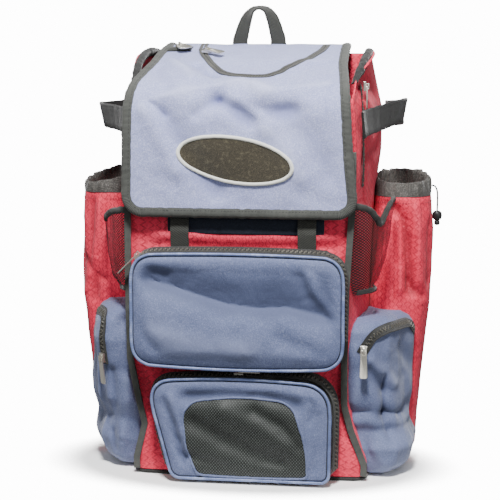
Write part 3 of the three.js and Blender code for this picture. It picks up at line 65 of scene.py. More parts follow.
def set_camera():
    """The photograph's angle: a little from the right and a little from above."""
    turn, tilt, distance, aim = math.radians(8), math.radians(8.5), 2.2, Vector((0, 0, 0.3057))
    sensor, pixels, focus = 36, 500, 1551
    ahead = Vector((-math.sin(turn) * math.cos(tilt), math.cos(turn) * math.cos(tilt), -math.sin(tilt)))
    camera = bpy.data.objects.new("camera", bpy.data.cameras.new("camera"))
    camera.data.sensor_width = sensor
    camera.data.lens = sensor * focus / pixels
    camera.location = aim - ahead * distance
    camera.rotation_euler = ahead.to_track_quat("-Z", "Y").to_euler()
    bpy.context.scene.collection.objects.link(camera)
    bpy.context.scene.camera = camera


def add_light(name, place, target, size, power):
    light = bpy.data.lights.new(name, "AREA")
    light.shape, light.size, light.energy = "DISK", size, power
    lamp = bpy.data.objects.new(name, light)
    lamp.location = Vector(place)
    lamp.rotation_euler = (Vector(target) - Vector(place)).to_track_quat("-Z", "Y").to_euler()
    bpy.context.scene.collection.objects.link(lamp)


def set_light():
    """Soft studio light from above and in front, before a white backdrop that the camera alone sees full."""
    seen_by_cloth, seen_by_camera = 0.28, 14.0
    world = bpy.data.worlds.new("studio")
    world.use_nodes = True
    nodes, links = world.node_tree.nodes, world.node_tree.links
    seen, strength = nodes.new("ShaderNodeLightPath"), nodes.new("ShaderNodeMapRange")
    strength.inputs["To Min"].default_value = seen_by_cloth
    strength.inputs["To Max"].default_value = seen_by_camera
    nodes["Background"].inputs["Color"].default_value = (1, 1, 1, 1)
    links.new(seen.outputs["Is Camera Ray"], strength.inputs["Value"])
    links.new(strength.outputs["Result"], nodes["Background"].inputs["Strength"])
    bpy.context.scene.world = world
    add_light("key", (0.12, -1.25, 2.2), (0, -0.05, 0.36), 0.42, 132)
    add_light("fill", (1.7, -1.5, 0.9), (0, 0, 0.3), 1.0, 13)
    add_light("side", (-1.8, -0.9, 0.8), (0, 0, 0.3), 1.0, 4)
    add_light("back", (0.4, 1.6, 1.7), (0, 0, 0.4), 1.2, 20)


# Finishes


def tint(code):
    """A colour from its six-figure code, as linear values."""
    parts = [int(code[i : i + 2], 16) / 255 for i in (0, 2, 4)]
    return tuple(c / 12.92 if c <= 0.04045 else ((c + 0.055) / 1.055) ** 2.4 for c in parts) + (1.0,)


class Field:
    """A number or a colour that changes over a surface. Sums and products of numbers add their Math nodes."""

    def __init__(self, finish, socket):
        self.finish, self.socket = finish, socket

    def math(self, operation, *values):
        return self.finish.node("ShaderNodeMath", {"operation": operation}, values)

    def __add__(self, other):
        return self.math("ADD", self, other)

    def __sub__(self, other):
        return self.math("SUBTRACT", self, other)

    def __rsub__(self, other):
        return self.math("SUBTRACT", other, self)

    def __mul__(self, other):
        return self.math("MULTIPLY", self, other)

    def __truediv__(self, other):
        return self.math("DIVIDE", self, other)

    __radd__, __rmul__ = __add__, __mul__

    def wave(self):
        return self.math("SINE", self)

    def size(self):
        return self.math("ABSOLUTE", self)

    def part(self):
        return self.math("FRACT", self)

    def most(self, other):
        return self.math("MAXIMUM", self, other)

    def rise(self, low, high):
        """0 below low and 1 above high, with a smooth step between."""
        return self.finish.node(
            "ShaderNodeMapRange",
            {"interpolation_type": "SMOOTHSTEP"},
            {0: self, 1: low, 2: high, 3: 0.0, 4: 1.0},
        )


class Finish:
    """One material, with its shader's constants set straight on the shader's sockets."""

    def __init__(self, name, **constants):
        self.material = bpy.data.materials.new(name)
        self.material.use_nodes = True
        self.tree = self.material.node_tree
        self.shader = self.tree.nodes["Principled BSDF"]
        for socket, value in constants.items():
            self.shader.inputs[socket.replace("_", " ")].default_value = value

    def node(self, kind, settings=None, inputs=(), out=0):
        made = self.tree.nodes.new(kind)
        for key, value in (settings or {}).items():
            setattr(made, key, value)
        pairs = inputs.items() if isinstance(inputs, dict) else enumerate(inputs)
        for key, value in pairs:
            self.feed(made.inputs[key], value)
        return Field(self, made.outputs[out])

    def feed(self, socket, value):
        if isinstance(value, Field):
            self.tree.links.new(value.socket, socket)
        else:
            socket.default_value = value

    def wear(self, **fields):
        for socket, field in fields.items():
            self.feed(self.shader.inputs[socket.replace("_", " ")], field)
        return self

    def mixed(self, a, b, share):
        """Colour a turning into colour b as share goes from 0 to 1."""
        return self.node("ShaderNodeMix", {"data_type": "RGBA"}, {0: share, 6: a, 7: b}, out=2)

    def pattern(self):
        """The piece's own pattern map in metres: across and along."""
        where = self.node("ShaderNodeUVMap", {"uv_map": "pattern"})
        return [self.node("ShaderNodeSeparateXYZ", None, [where], out=k) for k in (0, 1)]

    def folded(self):
        """How far the cloth stands out of its smooth form: about -1 deep in a fold, 1 on a ridge. The cloth finishes
        use it for painted highlight on ridges and painted shade in valleys.
        """
        return self.node("ShaderNodeAttribute", {"attribute_name": "fold"}, out=2)

    def place(self):
        return self.node("ShaderNodeTexCoord", None, out=3)

    def cloud(self, scale, detail=3.0, rough=0.55, where=None, distort=0.0):
        settings = {0: where or self.place(), "Scale": scale, "Detail": detail, "Roughness": rough,
            "Distortion": distort}
        return self.node("ShaderNodeTexNoise", {"noise_dimensions": "3D"}, settings)

    def relief(self, *layers):
        """Bumps laid over each other, each a height field, its depth in metres and its strength."""
        normal = None
        for height, depth, strength in layers:
            inputs = {"Height": height, "Distance": depth, "Strength": strength}
            if normal:
                inputs["Normal"] = normal
            normal = self.node("ShaderNodeBump", None, inputs)
        return normal


def thread_grid(finish, pitch):
    """Plain weave: over and under in turn, across and along."""
    across, along = finish.pattern()
    turn = math.pi / (pitch * MM)
    return (across * turn).wave() * (along * turn).wave()


def woven(name, base, deep, pale, pitch=0.75, rough=0.8, sheen=0.25, grain=0.5, crease=0.5):
    """Pack cloth: plain weave of uneven yarn, soft creases and slow fading, with painted highlight on fold ridges and
    painted shade in fold valleys.
    """
    f = Finish(name, Roughness=rough, Sheen_Weight=sheen, Sheen_Roughness=0.4, Specular_IOR_Level=0.28)
    weave = thread_grid(f, pitch)
    yarn, slub = f.cloud(620, 2.0, 0.65), f.cloud(260, 3.0, 0.7)
    fade = f.cloud(7, 3.0, 0.6)
    folds, small = f.cloud(30, 3.0, 0.5, distort=0.9), f.cloud(95, 2.0, 0.5, distort=0.6)
    colour = f.mixed(tint(deep), tint(base), (weave * 0.5 + 0.5).rise(-0.15, 0.75))
    colour = f.mixed(colour, tint(pale), yarn.rise(0.48, 0.72) * grain)
    colour = f.mixed(colour, tint(deep), yarn.rise(0.5, 0.3) * grain * 0.8)
    colour = f.mixed(colour, tint(pale), slub.rise(0.52, 0.75) * grain * 0.6)
    # Slow random fading, plus painted highlight on fold ridges and painted shade in fold valleys, both read from the
    # cloth's fold height.
    colour = f.mixed(colour, tint(pale), fade.rise(0.45, 0.8) * 0.16 + f.folded().rise(0.1, 1.2) * 0.32)
    colour = f.mixed(colour, tint(deep), fade.rise(0.5, 0.2) * 0.18 + f.folded().rise(-0.1, -1.6) * 0.75)
    return f.wear(
        Base_Color=colour,
        Roughness=rough - 0.12 + 0.2 * slub,
        Normal=f.relief((folds, 0.006, crease), (small, 0.0016, crease * 0.7), (yarn, 0.0004, 0.5),
            (weave, 0.00025, 0.5)),
    )


def honeycomb(name, base, deep, pale, cell=5.6, sway=1.5, repeat=5.4):
    """Light red pack cloth with a woven-in honeycomb of darker zigzag threads, with painted highlight on fold ridges
    and painted shade in fold valleys.
    """
    f = Finish(name, Roughness=0.66, Sheen_Weight=0.08, Sheen_Roughness=0.4, Specular_IOR_Level=0.34)
    across, along = f.pattern()
    tri = ((along / (repeat * MM)).part() - 0.5).size() * (4 * sway * MM) - sway * MM
    lines = None
    for way, start in ((1, 0.0), (-1, 0.5)):
        near = (((across + tri * way) / (2 * cell * MM) + start).part() - 0.5).size() * (2 * cell)
        line = near.rise(1.25, 0.45)
        lines = line if lines is None else lines.most(line)
    weave = thread_grid(f, 0.6)
    fade, yarn = f.cloud(6, 3.0, 0.6), f.cloud(420, 2.0, 0.65)
    folds, small = f.cloud(26, 3.0, 0.5, distort=1.0), f.cloud(80, 2.0, 0.5, distort=0.8)
    broken = f.cloud(150, 2.0, 0.6).rise(0.3, 0.6)
    # Slow random fading, plus painted highlight on fold ridges and painted shade in fold valleys, both read from the
    # cloth's fold height.
    colour = f.mixed(tint(base), tint(pale), fade.rise(0.45, 0.75) * 0.3 + f.folded().rise(0.1, 1.0) * 0.4)
    colour = f.mixed(colour, tint(deep), fade.rise(0.5, 0.2) * 0.25 + f.folded().rise(-0.15, -1.1) * 0.6)
    colour = f.mixed(colour, tint(deep),
        yarn.rise(0.5, 0.3) * 0.35 + (weave * 0.5 + 0.5).rise(0.9, 0.1) * 0.15)
    colour = f.mixed(colour, tint(pale), yarn.rise(0.52, 0.72) * 0.35)
    colour = f.mixed(colour, tint(deep), lines * (0.2 + broken * 0.32))
    return f.wear(
        Base_Color=colour,
        Normal=f.relief((folds, 0.007, 0.5), (small, 0.002, 0.4), (lines, 0.0003, 0.5), (weave, 0.0002, 0.4)),
    )


def netting(name, thread, glow, pitch, see_through):
    """Knitted net: a staggered grid of small holes, open or with dark cloth behind."""
    f = Finish(name, Roughness=0.55, Specular_IOR_Level=0.4)
    across, along = f.pattern()
    wave_a = (across * (2 * math.pi / (pitch * MM)) + math.pi / 2).wave()
    wave_b = (along * (2 * math.pi / (pitch * 1.15 * MM)) + math.pi / 2).wave()
    hole = (wave_a * wave_b).rise(*((-0.25, 0.12) if see_through else (0.0, 0.5)))
    fuzz = f.cloud(1500, 1.0)
    colour = f.mixed(tint(thread), tint(glow), fuzz.rise(0.5, 0.8) * 0.5)
    if see_through:
        f.wear(Alpha=1.0 - hole)
    else:
        colour = f.mixed(colour, tint(glow), hole)
    return f.wear(Base_Color=colour, Normal=f.relief((1.0 - hole, 0.0007, 0.8)))


def webbing(name, base, pale, rib=1.9, slant=0.55, rough=0.75, sheen=0.15):
    """Woven strap: rows of ribs that slant in from both edges, each rib a row of thread ends."""
    f = Finish(name, Roughness=rough, Sheen_Weight=sheen, Specular_IOR_Level=0.3)
    across, along = f.pattern()
    ribs = ((along + across.size() * slant) * (2 * math.pi / (rib * MM))).wave()
    ends = (across * (2 * math.pi / (1.1 * MM))).wave()
    weave = ribs * 0.7 + ends * 0.3
    fade, fuzz = f.cloud(14), f.cloud(1100, 1.0)
    colour = f.mixed(tint(base), tint(pale), (weave * 0.5 + 0.5).rise(0.45, 1.0) * 0.55)
    colour = f.mixed(colour, tint(pale), fade.rise(0.5, 0.8) * 0.35 + fuzz.rise(0.6, 0.8) * 0.25)
    return f.wear(Base_Color=colour, Normal=f.relief((fade, 0.002, 0.3), (weave, 0.0004, 0.8)))


def pile(name, base, pale, rough=0.95):
    """Short cut pile, as on a felt patch and on hook-and-loop tape."""
    f = Finish(name, Roughness=rough, Sheen_Weight=0.35, Sheen_Roughness=0.5, Specular_IOR_Level=0.15)
    tufts, clumps = f.cloud(1400, 2.0, 0.7), f.cloud(160, 3.0, 0.7)
    colour = f.mixed(tint(base), tint(pale), tufts.rise(0.45, 0.75) * 0.6)
    colour = f.mixed(colour, tint(pale), clumps.rise(0.5, 0.75) * 0.4)
    return f.wear(Base_Color=colour, Normal=f.relief((clumps, 0.001, 0.5), (tufts, 0.0006, 0.9)))


def metal(name, base, deep):
    """Cast and plated zip metal, a little scuffed."""
    f = Finish(name, Metallic=1.0, Roughness=0.3, Specular_IOR_Level=0.5)
    scuff, cast = f.cloud(420, 3.0, 0.7), f.cloud(90, 2.0)
    colour = f.mixed(tint(base), tint(deep), scuff.rise(0.5, 0.75) * 0.35)
    return f.wear(Base_Color=colour, Roughness=0.24 + scuff * 0.2,
        Normal=f.relief((cast, 0.0005, 0.15), (scuff, 0.0001, 0.3)))


def moulded(name, base, pale, rough=0.42):
    """Moulded plastic with a fine spark-eroded grain."""
    f = Finish(name, Roughness=rough, Specular_IOR_Level=0.45)
    grain, wear = f.cloud(2200, 1.0), f.cloud(30)
    colour = f.mixed(tint(base), tint(pale), wear.rise(0.5, 0.8) * 0.5)
    return f.wear(Base_Color=colour, Roughness=rough - 0.06 + wear * 0.14,
        Normal=f.relief((grain, 0.0002, 0.4)))


def satin(name, base, pale, deep):
    """Smooth coated cloth that shines, rolled over a cord, with uneven tone that is partly painted highlight and
    painted shade.
    """
    f = Finish(name, Roughness=0.42, Coat_Weight=0.15, Coat_Roughness=0.35, Specular_IOR_Level=0.45)
    _, along = f.pattern()
    pull = f.cloud(60, 3.0)
    pucker = (along * (2 * math.pi / (3.4 * MM))).wave()
    # The cloud that raises the cord's puckers also colours them: partly uneven tone, partly painted highlight where
    # raised and painted shade where sunk.
    colour = f.mixed(tint(base), tint(pale), pull.rise(0.45, 0.8) * 0.6)
    colour = f.mixed(colour, tint(deep), pull.rise(0.5, 0.2) * 0.5)
    return f.wear(Base_Color=colour, Normal=f.relief((pull, 0.002, 0.4), (pucker, 0.0003, 0.35)))


def floor_finish():
    """Pale paper that fades into the backdrop away from the bag, its opaque ellipse round the base a painted soft
    shadow.
    """
    f = Finish("pale_floor", Roughness=0.9, Specular_IOR_Level=0.2)
    grain = f.cloud(3, 2.0)
    x, y = (f.node("ShaderNodeSeparateXYZ", None, [f.place()], out=k) for k in (0, 1))
    # The ellipse sets where the lit floor shows grey against the brighter backdrop: a painted soft shadow round the
    # base.
    wide, deep, behind = 0.27, 0.16, 0.01
    x, y = x / wide, (y + behind) / deep
    near = x * x + y * y
    return f.wear(Base_Color=f.mixed(tint("f4f4f3"), tint("fafafa"), grain), Alpha=near.rise(1.35, 0.75))


def corded(name, base, pale):
    """Round braid of fine plaits."""
    f = Finish(name, Roughness=0.7, Sheen_Weight=0.2)
    plait = f.cloud(900, 2.0, 0.6)
    return f.wear(Base_Color=f.mixed(tint(base), tint(pale), plait.rise(0.4, 0.7)),
        Normal=f.relief((plait, 0.0004, 0.8)))


# flap_cloth and pocket_cloth are one blue cloth: the lid's paler colours are painted light for the stronger light on
# the top, and the pockets' darker colours are painted shade lower down.
FLAP = woven("flap_cloth", "9ba1cb", "7379a6", "cdd1ec", grain=0.5, crease=0.3)
BLUE = woven("pocket_cloth", "616b8e", "444c69", "8a92b0", rough=0.66, grain=0.4, crease=0.3)
NAVY = woven("navy_cloth", "161d2b", "0e131d", "2c3648", pitch=0.9, grain=0.3)
RED = honeycomb("red_cloth", "e02b49", "7c0c1e", "f25a70", 6.3, 1.8, 9.0)
DARK = woven("black_cloth", "262625", "161615", "4a4a48", pitch=0.9, rough=0.82, grain=0.3)
CUFF_CLOTH = woven("cuff_cloth", "42403d", "201f1e", "86827b", pitch=0.6, rough=0.5, grain=0.5)
BINDING = webbing("binding_tape", "383a37", "70716b", rib=1.6, slant=0.0)
WEB = webbing("webbing", "232421", "55564f", rib=2.4)
ELASTIC = webbing("elastic", "262624", "5c5c58", rib=1.7, slant=0.0)
ZIP_TAPE = webbing("zip_tape", "1f1f1e", "43433f", rib=1.2, slant=0.3)
COIL = webbing("zip_coil", "2b2b29", "7b7a73", rib=2.0, slant=0.0)
TEETH = moulded("zip_teeth", "4c4a44", "8b887d", 0.32)
HOOKS = pile("hook_tape", "0b0b0b", "262624")
PATCH = pile("patch_pile", "2c2820", "6b6450")
EDGING = webbing("patch_edging", "dfdfd3", "ffffff", rib=1.3, slant=0.0, rough=0.5, sheen=0.3)
WINDOW = netting("window_net", "121312", "454b47", 4.0, False)
NET = netting("pocket_net", "262323", "4a4545", 3.4, True)
SPACER = netting("spacer_net", "212223", "0e0e0f", 3.2, False)
PIPING = satin("piping", "62709a", "a3aecd", "3c4766")
THREAD = webbing("stitching", "6a7084", "a4abbc", rib=0.5)
DARK_THREAD = webbing("dark_stitching", "1d1d1d", "42423f", rib=0.5)
SILVER = metal("silver_metal", "f4f0e4", "b5b0a0")
PLASTIC = moulded("black_plastic", "1b1b1c", "3a3a3b")
CORD = corded("cord_braid", "222223", "48484a")


# Curves


def evenly(points, step, closed=False):
    """A smooth curve through the points, evenly spaced. Columns past the third are carried along."""
    p = np.array(points, float)
    count = len(p)
    dense = []
    for i in range(count if closed else count - 1):
        a, b, c, d = (p[(i + k) % count] if closed else p[min(max(i + k, 0), count - 1)] for k in (-1, 0, 1,
            2))
        for t in np.linspace(0, 1, 24, endpoint=False):
            bend, twist = 2 * a - 5 * b + 4 * c - d, 3 * b - a - 3 * c + d
            dense.append(0.5 * (2 * b + (c - a) * t + bend * t**2 + twist * t**3))
    dense.append(p[0] if closed else p[-1])
    dense = np.array(dense)
    run = np.concatenate([[0], np.cumsum(np.linalg.norm(np.diff(dense[:, :3], axis=0), axis=1))])
    spaces = max(int(round(run[-1] / step)), 2)
    at = np.linspace(0, run[-1], spaces + 1)
    line = np.stack([np.interp(at, run, dense[:, k]) for k in range(dense.shape[1])], axis=1)
    return (line[:-1] if closed else line), run[-1]


def unit(rows):
    return rows / np.maximum(np.linalg.norm(rows, axis=-1, keepdims=True), 1e-9)


class Route:
    """A line over a surface: evenly spaced points, and the ways along it, off the surface and across."""

    def __init__(self, points, ways=None, step=2.0, closed=False):
        rows = np.array(points, float)
        if ways is not None:
            rows = np.concatenate([rows[:, :3], np.broadcast_to(np.array(ways, float), (len(rows), 3))],
                axis=1)
        line, self.length = evenly(rows, step, closed)
        self.closed, self.points = closed, line[:, :3]
        if closed:
            self.along = unit(np.roll(self.points, -1, axis=0) - np.roll(self.points, 1, axis=0))
        else:
            self.along = unit(np.gradient(self.points, axis=0))
        out = line[:, 3:6]
        self.out = unit(out - (out * self.along).sum(1, keepdims=True) * self.along)
        self.across = np.cross(self.along, self.out)
        self.run = np.linspace(0, self.length, len(self.points), endpoint=not closed)

    def at(self, distance, across=0.0, up=0.0):
        """The place and axes at a distance along: across, along and out as a matrix."""
        last = len(self.points) - 1
        k = min(int(round(distance / self.length * (last + self.closed))), last)
        spot = self.points[k] + self.across[k] * across + self.out[k] * up
        axes = Matrix([self.across[k], self.along[k], self.out[k]]).transposed().to_4x4()
        return Matrix.Translation(Vector(spot) * MM) @ axes

    def shifted(self, across, up=0.0):
        moved = self.points + self.across * np.reshape(across, (-1, 1)) + self.out * np.reshape(up, (-1, 1))
        return Route(np.concatenate([moved, self.out], axis=1), None, self.length / len(self.points),
            self.closed)


# Shapes


def loft(rings, around=True, pattern=None, close_ends=True, looped=False):
    """A surface through rows of points. pattern gives each point's place in the cloth's own map."""
    rings = np.array(rings, float)
    rows, columns = rings.shape[:2]
    wide, tall = (columns if around else columns - 1), (rows if looped else rows - 1)
    bm = bmesh.new()
    bmesh.ops.create_grid(bm, x_segments=wide, y_segments=tall, size=1)
    layer = bm.loops.layers.uv.new("pattern")
    cell = {v: (round((v.co.x + 1) / 2 * wide), round((v.co.y + 1) / 2 * tall)) for v in bm.verts}
    if pattern is not None:
        for face in bm.faces:
            for corner in face.loops:
                i, j = cell[corner.vert]
                corner[layer].uv = Vector(pattern[min(j, len(pattern) - 1)][min(i, len(pattern[0]) - 1)]) * MM
    for v, (i, j) in cell.items():
        v.co = Vector(rings[j % rows][i % columns]) * MM
    if around or looped:
        bmesh.ops.remove_doubles(bm, verts=bm.verts, dist=2e-6)
    if around and close_ends and not looped:
        bmesh.ops.holes_fill(bm, edges=[e for e in bm.edges if e.is_boundary], sides=0)
    if around:
        bmesh.ops.recalc_face_normals(bm, faces=bm.faces)
    if pattern is None:
        box_pattern(bm)
    return bm


def faced(bm, way):
    """Turns a sheet so that it looks the given way."""
    bm.normal_update()
    if sum(f.calc_area() * f.normal.dot(Vector(way)) for f in bm.faces) < 0:
        bmesh.ops.reverse_faces(bm, faces=bm.faces)
    return bm


def box_pattern(bm):
    """The cloth's own map on a boxy piece: each face laid flat along the axis that it looks down most."""
    layer = bm.loops.layers.uv.get("pattern") or bm.loops.layers.uv.new("pattern")
    bm.normal_update()
    for face in bm.faces:
        n = [abs(c) for c in face.normal]
        a, b = ((1, 2), (0, 2), (0, 1))[n.index(max(n))]
        for corner in face.loops:
            corner[layer].uv = (corner.vert.co[a], corner.vert.co[b])


def strap_section(width, thickness, edge=0.5, cuts=6):
    """A strap's section with rounded edges: across and up."""
    half, t = width / 2, thickness / 2
    span = np.linspace(-half + edge * t * 1.6, half - edge * t * 1.6, cuts)
    right = [(half - 0.15 * t, t * 0.6), (half, 0), (half - 0.15 * t, -t * 0.6)]
    left = [(-a, -b) for a, b in right]
    return [(a, t) for a in span] + right + [(a, -t) for a in span[::-1]] + left


def round_section(radius, sides=12, flat=1.0):
    turn = np.linspace(0, 2 * math.pi, sides, endpoint=False)
    return [(radius * math.cos(a), radius * flat * math.sin(a)) for a in turn]


def band(route, section, width_at=None, ripple=0.0, seed=0.0):
    """A section drawn along a route, its numbers across the cloth and up off it. ripple is its slack."""
    section = np.array(section, float)
    scale = np.array([width_at(s) if width_at else 1.0 for s in route.run / route.length])
    sway = np.zeros((len(route.points), 3))
    if ripple:
        turn = route.run / route.length * (2 * math.pi if route.closed else 1.0)
        size = route.length / 8 / (2 * math.pi if route.closed else 1.0)
        for k, t in enumerate(turn):
            spot = Vector((math.cos(t), math.sin(t), 0) if route.closed else (t, 0, 0)) * size
            sway[k] = [ripple * noise.noise(spot + Vector((0, 0, seed + 7 * c))) for c in range(3)]
    rings = (
        route.points[:, None]
        + route.across[:, None] * (section[None, :, :1] * scale[:, None, None] + sway[:, None, :1])
        + route.out[:,
            None] * (section[None, :, 1:] * (1 + 0.25 * sway[:, None, 2:]) + sway[:, None, 1:2] * 0.6)
    )
    run = list(route.run) + [route.length]
    across = [s[0] for s in section] + [section[0][0]]
    pattern = [[(a, r) for a in across] for r in run]
    return loft(rings, True, pattern, looped=route.closed)


def tooth(width, length, height):
    """One small rounded block, its base on the ground."""
    bm = bmesh.new()
    bmesh.ops.create_cube(bm, size=1)
    bmesh.ops.scale(bm, vec=Vector((width, length, height)) * MM, verts=bm.verts)
    bmesh.ops.translate(bm, vec=(0, 0, height * MM / 2), verts=bm.verts)
    edges = [e for e in bm.edges if all(v.co.z > height * MM * 0.5 for v in e.verts)]
    bmesh.ops.bevel(bm, geom=edges, offset=min(width, length, height) * 0.3 * MM, segments=1, profile=0.5,
        affect="EDGES", material=-1)
    return bm


def stitch(length, width=0.9):
    """One stitch of thread: a long bead, narrower at its ends."""
    bm = bmesh.new()
    bmesh.ops.create_icosphere(bm, subdivisions=1, radius=0.5)
    bmesh.ops.scale(bm, vec=Vector((width, length, width * 0.8)) * MM, verts=bm.verts)
    return bm


def stamped(shape, places):
    """Copies of a small shape, one at each place."""
    model = bpy.data.meshes.new("stamp")
    shape.to_mesh(model)
    shape.free()
    bm = bmesh.new()
    bm.loops.layers.uv.new("pattern")
    for place in places:
        copy = model.copy()
        copy.transform(place)
        bm.from_mesh(copy)
        bpy.data.meshes.remove(copy)
    bpy.data.meshes.remove(model)
    return bm


def zip_parts(route, tape, teeth, lift=0.0, pitch=2.6):
    """A zip laid along a route: two tapes that meet in a groove, and their two rows of teeth."""
    parts = []
    for side in SIDES.values():
        middle = side * (tape / 4 + 0.2)
        parts.append((band(route.shifted(middle, lift + 0.5), strap_section(tape / 2 - 0.5, 1.0)), ZIP_TAPE))
    places = []
    for k in range(int(route.length / pitch)):
        side = -1 if k % 2 else 1
        places.append(route.at(pitch * (k + 0.5), side * teeth * 0.22, lift + 0.8))
    parts.append((stamped(tooth(teeth * 0.62, pitch * 0.6, 1.5), places), TEETH))
    return parts


def coil_zip(route, width, lift=0.0):
    """A zip whose coil lies under its tape, so that two ribbed bands meet in a groove."""
    parts = []
    for side in SIDES.values():
        half = band(route.shifted(side * width * 0.26, lift + 0.9),
            strap_section(width / 2 - 0.7, 2.2, 0.8), None, 0.3, side)
        parts.append((half, COIL))
    parts.append((band(route.shifted(0, lift + 0.3), strap_section(width * 0.6, 0.6)), ZIP_TAPE))
    return parts


def seam(route, across, up, pitch=4.2, length=2.9, thread=THREAD, width=0.8):
    count = int(route.length / pitch)
    return stamped(stitch(length, width),
        [route.at(pitch * (k + 0.5), across, up) for k in range(count)]), thread


# Cloth


def cloth_copy(node, longest=6.0, rounds=14, sharp=48):
    """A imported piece's own mesh, cut into short edges and smoothed between its rims."""
    bm = bmesh.new()
    bm.from_mesh(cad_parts[node].data)
    bmesh.ops.remove_doubles(bm, verts=bm.verts, dist=2e-5)
    for _ in range(8):
        long = [e for e in bm.edges if e.calc_length() > longest * MM]
        if not long:
            break
        bmesh.ops.subdivide_edges(bm, edges=long, cuts=1)
        bmesh.ops.triangulate(bm, faces=[f for f in bm.faces if len(f.verts) > 3])
    limit = math.radians(sharp)
    rim = {v for e in bm.edges if len(e.link_faces) != 2 or e.calc_face_angle(0.0) > limit for v in e.verts}
    soft = [v for v in bm.verts if v not in rim]
    for _ in range(rounds):
        bmesh.ops.smooth_vert(bm, verts=soft, factor=0.5, use_axis_x=True, use_axis_y=True, use_axis_z=True)
    return bm


def box_ways(points, half=(157, 93), centre=(0, 2), power=3):
    """The outward way on an upright box with soft corners."""
    x, y = (points[:, 0] - centre[0]) / half[0], (points[:, 1] - centre[1]) / half[1]
    ways = np.stack([np.sign(x) * np.abs(x) ** power, np.sign(y) * np.abs(y) ** power, np.zeros(len(x))],
        axis=1)
    return unit(ways)


def from_axis(x, y):
    def ways(points):
        away = points - np.array([x, y, 0])
        away[:, 2] = 0
        return unit(away)

    return ways


def one_way(*way):
    return lambda points: np.broadcast_to(unit(np.array(way, float)), points.shape)


def rumpled(bm, ways, folds=(), depth=0.0, spread=60.0, stretch=(1, 1, 1), seed=0.0, hold=None, lean=None):
    """Moves cloth off its smooth form: named folds, and slow uneven rumples between them.

    A fold is its points, how wide it is, how deep (below 0 is a valley), and 1 where it is sharp.
    """
    points = np.array([v.co[:] for v in bm.verts]) / MM
    amount = lean(points) if lean else np.zeros(len(points))
    for path, wide, deep, sharp in folds:
        nearest = np.full(len(points), 1e9)
        path = np.array(path, float)
        for a, b in zip(path[:-1], path[1:]):
            t = np.clip(((points - a) @ (b - a)) / ((b - a) @ (b - a)), 0, 1)
            nearest = np.minimum(nearest, np.linalg.norm(points - a - t[:, None] * (b - a), axis=1))
        far = nearest / wide
        amount += deep * (np.exp(-far * 1.4) if sharp else np.exp(-(far**2)))
    if depth:
        stretch = Vector(stretch)
        for k, p in enumerate(points):
            spot = Vector(p) * stretch / spread + Vector((seed, seed * 1.7, -seed))
            amount[k] += depth * (noise.noise(spot) + 0.45 * noise.noise(spot * 2.3))
    if hold is not None:
        amount = amount * hold(points)
    moved = (points + ways(points) * amount[:, None]) * MM
    fold = bm.verts.layers.float.get("fold") or bm.verts.layers.float.new("fold")
    for v, p, height in zip(bm.verts, moved, amount):
        v.co = p
        v[fold] = height / 6
    return bm


# Pieces


def piece(name, parts, nodes, body="pack", smooth=55, subdivide=0):
    """One finished object from parts, each a mesh and its finish, in place of the named CAD nodes."""
    whole = bmesh.new()
    whole.loops.layers.uv.new("pattern")
    whole.verts.layers.float.new("fold")
    mesh = bpy.data.meshes.new(name)
    finishes = []
    for bm, finish in parts:
        if finish not in finishes:
            finishes.append(finish)
            mesh.materials.append(finish.material)
        for face in bm.faces:
            face.material_index = finishes.index(finish)
            face.smooth = True
        part = bpy.data.meshes.new("part")
        bm.to_mesh(part)
        bm.free()
        whole.from_mesh(part)
        bpy.data.meshes.remove(part)
    whole.to_mesh(mesh)
    whole.free()
    mesh.set_sharp_from_angle(angle=math.radians(smooth))
    made = bpy.data.objects.new(name, mesh)
    bpy.context.scene.collection.objects.link(made)
    if subdivide:
        finer = made.modifiers.new("finer", "SUBSURF")
        finer.levels = finer.render_levels = subdivide
    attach(made, body)
    if nodes:
        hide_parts(*nodes)
    return made


def bevelled(node, width=0.5, segments=2, sunk=0.0):
    """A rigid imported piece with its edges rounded, and with its broad faces sunk inside a rim."""
    bm = bmesh.new()
    bm.from_mesh(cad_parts[node].data)
    bmesh.ops.remove_doubles(bm, verts=bm.verts, dist=2e-5)
    bmesh.ops.dissolve_limit(bm, angle_limit=math.radians(1), verts=bm.verts, edges=bm.edges)
    if sunk:
        broad = max(bm.faces, key=lambda f: f.calc_area()).normal.copy()
        for way in (broad, -broad):
            flat = [f for f in bm.faces if f.normal.dot(way) > 0.99]
            bmesh.ops.inset_region(bm, faces=flat, thickness=0.9 * MM, depth=-sunk * MM,
                use_even_offset=False, use_boundary=True)
    edges = [e for e in bm.edges if e.calc_face_angle(0.0) > math.radians(35)]
    bmesh.ops.bevel(bm, geom=edges, offset=width * MM, segments=segments, profile=0.5, affect="EDGES",
        material=-1, clamp_overlap=True)
    box_pattern(bm)
    return bm


def build_cord():
    """The right cuff's drawcord, hanging out of the cuff to its stop."""
    start = Vector((253.4, 64, 395))
    points = [(0, 0, 0), (5, 0, -2), (8, 1, -12), (8, 1, -36)]
    line, _ = evenly([list(start + Vector(p)) for p in points], 2.4)
    curve = bpy.data.curves.new("cuff_cord", "CURVE")
    curve.dimensions, curve.bevel_depth, curve.bevel_resolution, curve.use_fill_caps = "3D", 1.3 * MM, 4, True
    spline = curve.splines.new("POLY")
    spline.points.add(len(line) - 1)
    for spot, p in zip(spline.points, line):
        spot.co = (*(p * MM), 1)
    cord = bpy.data.objects.new("cuff_cord", curve)
    bpy.context.scene.collection.objects.link(cord)
    curve.materials.append(CORD.material)
    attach(cord, "pack")
    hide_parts("cuff_cord_right")
    barrel = bevelled("cord_stop_right", 0.8, 3)
    stop = piece("cuff_cord_stop", [(barrel, PLASTIC)], ["cord_stop_right"])


